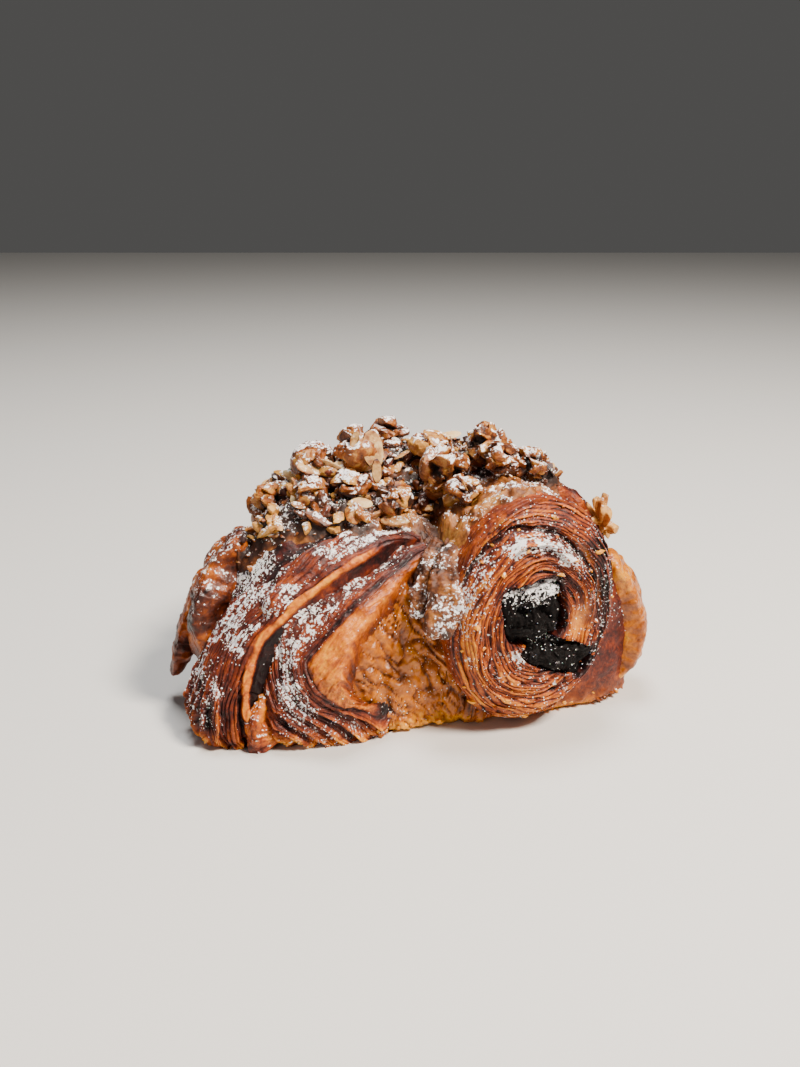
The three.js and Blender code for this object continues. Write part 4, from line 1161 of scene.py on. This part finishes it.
def scatter_tree():
    tree = bpy.data.node_groups.new("scatter_on_surface", "GeometryNodeTree")
    tree.interface.new_socket("Geometry", in_out="OUTPUT", socket_type="NodeSocketGeometry")
    for name, kind in TREE_INPUTS.items():
        tree.interface.new_socket(name, in_out="INPUT", socket_type=f"NodeSocket{kind}")
    given = node(tree, "NodeGroupInput").node.outputs
    allowed = node(tree, "GeometryNodeInputNamedAttribute", given["Mark"], data_type="FLOAT")
    points = node(tree, "GeometryNodeDistributePointsOnFaces", {
        "Mesh": given["Surface"], "Distance Min": given["Apart"], "Density Max": given["Density"],
        "Density Factor": allowed, "Seed": given["Seed"]}, distribute_method="POISSON").node.outputs
    up = node(tree, "ShaderNodeVectorMath", {0: points["Normal"], "Scale": given["Rise"]}, operation="SCALE")
    moved = node(tree, "GeometryNodeSetPosition", {"Geometry": points["Points"], "Offset": up})
    shapes = node(tree, "GeometryNodeCollectionInfo", {
        "Collection": given["Shapes"], "Separate Children": True, "Reset Children": True})
    turned = node(tree, "FunctionNodeRandomValue", {
        0: (-TIP, -TIP, 0), 1: (TIP, TIP, 2 * math.pi), "Seed": given["Seed"]}, data_type="FLOAT_VECTOR")
    sized = node(tree, "FunctionNodeRandomValue", {
        2: given["Smallest"], 3: given["Largest"], "Seed": given["Seed"]}, out=1, data_type="FLOAT")
    placed = node(tree, "GeometryNodeInstanceOnPoints", {
        "Points": moved, "Instance": shapes, "Pick Instance": True, "Rotation": turned, "Scale": sized})
    real = node(tree, "GeometryNodeRealizeInstances", placed)
    finished = node(tree, "GeometryNodeSetMaterial", {"Geometry": real, "Material": given["Finish"]})
    node(tree, "NodeGroupOutput", finished)
    return tree


SCATTER = scatter_tree()
print("scatter inputs:", [s.name for s in SCATTER.interface.items_tree if s.in_out == "INPUT"])


# %% Running the tree
def scatter(name, shapes, surface, finish, mark, spread, seed):
    """A new piece: shapes scattered on a surface where its mark allows.

    Spread says how many millimetres lie between two pieces, how many pieces come to a square millimetre,
    the smallest and the largest size, and how many millimetres a piece is raised.
    """
    apart, density, smallest, largest, rise = spread
    values = {"Shapes": shapes, "Mark": mark, "Apart": apart * MM, "Density": density / MM**2,
              "Smallest": smallest, "Largest": largest, "Rise": rise * MM, "Finish": finish, "Seed": seed}
    holder = bpy.data.objects.new(name + "_holder", surface.data)
    bpy.context.scene.collection.objects.link(holder)
    modifier = holder.modifiers.new("scatter", "NODES")
    modifier.node_group = SCATTER
    for socket in SCATTER.interface.items_tree:
        if socket.in_out == "INPUT" and socket.name in values:
            modifier[socket.identifier] = values[socket.name]
    ready = holder.evaluated_get(bpy.context.evaluated_depsgraph_get())
    mesh = bpy.data.meshes.new_from_object(ready)
    made = bpy.data.objects.new(name, mesh)
    bpy.data.objects.remove(holder)
    bpy.context.scene.collection.objects.link(made)
    print(f"{name}: {len(mesh.polygons)} faces")
    return made


def scatter_all(mark, jobs):
    """Runs the tree for each job, which is a piece's shapes, surface, finish, spread and seed."""
    return [scatter(name, *job[:3], mark, *job[3:]) for name, job in jobs.items()]


# %% Shapes to scatter
SHARP = math.radians(25)  # two faces that meet at more than this keep a hard edge


def shape_set(name, count, ball_size, stretch, planes, nearest, seed):
    """A collection of small chipped shapes about 1 mm in radius, at the origin, each in its own tone."""
    rng = np.random.default_rng(seed)
    group = bpy.data.collections.new(name)
    bpy.context.scene.collection.children.link(group)
    for i in range(count):
        way = ball(*ball_size)
        grid = way * chipped(way, rng, planes, nearest)[..., None] * np.asarray(stretch)
        up = smooth(way[..., 2], -0.2, 0.7)
        marks = {"sugar": 0.1 + 0.55 * up * rng.random(), "brown": rng.uniform(-0.38, 0.5) + 0 * up}
        one = skin(f"{name}_{i + 1}", grid + MIDDLE, marks, CARAMEL)
        one.data.set_sharp_from_angle(angle=SHARP)
        bpy.context.scene.collection.objects.unlink(one)
        group.objects.link(one)
    return group


CHUNKS = shape_set("chunk", 14, (9, 14), (1.25, 0.85, 0.6), 10, 0.26, 301)
SLIVERS = shape_set("sliver", 6, (7, 12), (1.6, 0.8, 0.2), 5, 0.5, 302)
BITS = shape_set("bit", 8, (4, 6), (1.3, 0.9, 0.45), 8, 0.28, 303)
GRAINS = shape_set("grain", 3, (2, 3), (1.0, 0.9, 0.7), 0, 1, 304)

# %% Chopped nuts, slivers and crumbs
NUTS = scatter_all("nuts", {
    "nuts_caramelised": (CHUNKS, CAP, CARAMEL, (2.6, 0.3, 1.3, 3.6, 0.5), 1),
    "nuts_cut": (CHUNKS, CAP, CUT_NUT, (5.5, 0.1, 1.2, 2.6, 1.2), 2),
    "nuts_in_skin": (CHUNKS, CAP, NUT_SKIN, (5.0, 0.1, 1.2, 2.4, 1.2), 3),
    "nut_slivers": (SLIVERS, CAP, CUT_NUT, (6.5, 0.1, 1.2, 2.6, 1.6), 4),
    "frangipane_crumbs": (BITS, CAP, CARAMEL, (1.6, 0.35, 0.4, 1.0, 0.2), 5),
})

# %% [markdown]
# ### Nuts that stand out
#
# A few pieces catch the eye: half a nut with its dark red skin, pale slices that stand on edge, and
# broad flat flakes. Each is a ball that is pressed flat on one side, and set down one by one.


# %% Single nuts
def single_nut(name, seed, at, size, lean, turn, red, flat=0.4):
    """A ball of half sizes size, pressed flat above flat, leant back and turned about its middle.

    Red is how dark the skin on its round side is.
    """
    way = ball(30, 44)
    shape = way.copy()
    shape[..., 2] = np.minimum(shape[..., 2], flat)
    shape = shape * np.asarray(size) * (1 + 0.06 * rough(way * 3, 1, 2, seed))[..., None]
    lean, turn = math.radians(lean), math.radians(turn)
    tip = np.array([[1, 0, 0], [0, math.cos(lean), -math.sin(lean)], [0, math.sin(lean), math.cos(lean)]])
    spin = np.array([[math.cos(turn), -math.sin(turn), 0], [math.sin(turn), math.cos(turn), 0], [0, 0, 1]])
    grid = np.asarray(at) + shape @ (spin @ tip).T
    cut_face = smooth(way[..., 2], flat - 0.08, flat)
    up = smooth(normals(grid)[..., 2], 0.1, 0.8)
    brown = red * (1 - cut_face) + 0.16 + 0.4 * rough(grid, 1.2, 2, seed + 9)
    return skin(name, grid, {"brown": brown, "sugar": 0.42 * up}, CUT_NUT)


SINGLE_NUTS = {
    "nut_half": dict(at=(-10.5, -7, 60.5), size=(2.6, 4.6, 2.8), lean=72, turn=24, red=1.0, flat=0.15),
    "nut_slice_1": dict(at=(-9.5, -10, 56), size=(1.2, 2.9, 0.9), lean=80, turn=12, red=0.8),
    "nut_slice_2": dict(at=(-14.5, -6.5, 62), size=(1.5, 2.8, 0.8), lean=66, turn=-20, red=0.9),
    "nut_slice_3": dict(at=(-18, -7, 55.5), size=(2.8, 2.2, 1.2), lean=50, turn=30, red=0.2),
    "nut_slice_4": dict(at=(-5.2, -18.5, 46.5), size=(3.4, 1.6, 0.8), lean=30, turn=-12, red=0.1),
    "nut_slice_5": dict(at=(-24, -7, 57), size=(5.2, 3.2, 0.7), lean=48, turn=38, red=0.5),
    "nut_slice_6": dict(at=(-33, -18.5, 44), size=(2.6, 1.9, 1.4), lean=40, turn=-15, red=0.35),
    "nut_slice_7": dict(at=(-29, -20, 41), size=(4.2, 1.3, 1.2), lean=30, turn=-6, red=0.55, flat=0.5),
    "nut_slice_8": dict(at=(-19.5, -17, 45.5), size=(1.3, 2.6, 1.0), lean=60, turn=20, red=0.35),
}
NUTS += [single_nut(name, seed, **sizes) for seed, (name, sizes) in enumerate(SINGLE_NUTS.items())]
print("single nuts:", len(SINGLE_NUTS))

# %% [markdown]
# ### Loose sugar and crumbs
#
# Shading alone leaves the sugar flat. So the larger grains are real: small white prisms, scattered where
# the mark named sugar is high. Sugar is white because light goes in, bounces about and comes out again.
# Flakes of crust lie the same way along the foot of the dough and on the cut face of the roll.


# %% Sugar grains and crust flakes
def icing_sugar():
    return material("icing_sugar", {
        "Base Color": linear("#fdfbfa"), "Roughness": 0.75, "Subsurface Weight": 0.3,
        "Subsurface Scale": 0.5 * MM})[0]


SUGAR = icing_sugar()
GRAIN = (0.45, 2.6, 0.08, 0.26, 0.03)
SUGARED = {"nuts": CAP, "left_fold": FOLDS[0], "right_fold": FOLDS[1], "roll": ROLL, "wraps": WRAPS,
           **CHOCOLATE_STICKS}
SUGAR_SEEDS = (11, 12, 13, 14, 15, 17, 18)
LOOSE_SUGAR = scatter_all("sugar", {
    f"sugar_on_{place}": (GRAINS, surface, SUGAR, GRAIN, seed)
    for (place, surface), seed in zip(SUGARED.items(), SUGAR_SEEDS)})
CRUST_FLAKES = scatter_all("foot", {"crust_flakes": (BITS, WRAPS, DOUGH, (1.1, 0.6, 0.4, 1.6, 0.1), 16)})
CRUST_FLAKES += scatter_all("cut", {"roll_flakes": (BITS, ROLL, DOUGH, (4, 0.05, 0.4, 1.3, 0.1), 19)})

# The scattered copies are meshes of their own now, so the shapes they were made from can go.
for group in (CHUNKS, SLIVERS, BITS, GRAINS):
    for one in list(group.objects):
        bpy.data.objects.remove(one)
    bpy.data.collections.remove(group)

# %% The crumb that hangs at the back of the roll
CRUMB_REACH = 1.15  # the longest spike, as a share of the solid's half size


def hanging_crumb():
    middle, half = box_of("hanging_crumb")
    way = ball(90, 150)
    spikes = 0.46 + 1.3 * np.clip(noise(way, 0.36, 7), 0, 1) ** 1.2 + 0.2 * rough(way, 0.25, 3, 8)
    grid = middle + way * half * np.minimum(spikes, CRUMB_REACH)[..., None]
    up = smooth(normals(grid)[..., 2], 0.1, 0.8)
    marks = {"brown": 0.1 + 0.2 * rough(grid, 2, 2, 9), "sugar": 0.35 * up}
    return skin("hanging_crumb", grid, marks, FRANGIPANE)


CRUMB = hanging_crumb()
print("crumb:", len(CRUMB.data.polygons), "faces")

# %% [markdown]
# ## The floor, the light and the frame
#
# A pale matt floor shows the shadow. Three soft lamps light the croissant: a warm one high on the right,
# a wide one overhead, and a faint cool one that keeps the dark parts from going black.

# %% Floor and light
FLOOR_SIZE = 3  # metres
AIM = Vector((0, 0, 0.02))  # metres: where each lamp points
LAMPS = {
    "high_right": dict(at=(0.34, -0.26, 0.56), size=0.15, power=11.5, tint="#fff3e4"),
    "overhead": dict(at=(-0.02, 0.12, 0.8), size=0.25, power=6.0, tint="#ffffff"),
    "front_fill": dict(at=(-0.4, -0.6, 0.3), size=0.5, power=0.5, tint="#f4f6ff"),
}
ROOM_COLOUR, ROOM_STRENGTH = "#e9e7e4", 0.1


def floor_piece():
    pale = material("pale_floor", {"Base Color": linear("#dcdad6"), "Roughness": 0.7})[0]
    bpy.ops.mesh.primitive_plane_add(size=FLOOR_SIZE)
    ground = bpy.context.object
    ground.name = "floor"
    ground.data.materials.append(pale)


def lamp(name, at, size, power, tint):
    data = bpy.data.lights.new(name, "AREA")
    data.size, data.energy, data.color = size, power, linear(tint)[:3]
    made = bpy.data.objects.new(name, data)
    bpy.context.scene.collection.objects.link(made)
    made.location = at
    made.rotation_euler = (AIM - Vector(at)).to_track_quat("-Z", "Y").to_euler()


floor_piece()
for name, sizes in LAMPS.items():
    lamp(name, **sizes)
world = bpy.data.worlds.new("room")
world.use_nodes = True
room = world.node_tree.nodes["Background"].inputs
room["Color"].default_value = linear(ROOM_COLOUR)
room["Strength"].default_value = ROOM_STRENGTH
bpy.context.scene.world = world
print("lamps:", len(LAMPS))


# %% Which node each piece stands for
def hand_over(piece, node_name, slot_name):
    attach(piece, "root")
    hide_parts(node_name)


for piece in (WRAPS, *FOLDS, ROLL):
    hand_over(piece, "dough", "crust")
for name, piece in CHOCOLATE_STICKS.items():
    hand_over(piece, name, "chocolate")
for piece in (CAP, *DRIP_PIECES):
    hand_over(piece, "frangipane_and_nuts", "frangipane")
for piece in NUTS:
    hand_over(piece, "frangipane_and_nuts", "hazelnut")
CARRIERS = {"sugar_on_nuts": ("frangipane_and_nuts", "frangipane"),
            "sugar_on_chocolate_upper": ("chocolate_upper", "chocolate"),
            "sugar_on_chocolate_lower": ("chocolate_lower", "chocolate")}
for piece in LOOSE_SUGAR:
    hand_over(piece, *CARRIERS.get(piece.name, ("dough", "crust")))
for piece in CRUST_FLAKES:
    hand_over(piece, "dough", "crust")
for name, piece in CLUSTERS.items():
    hand_over(piece, name, "hazelnut")
hand_over(CRUMB, "hanging_crumb", "crust")
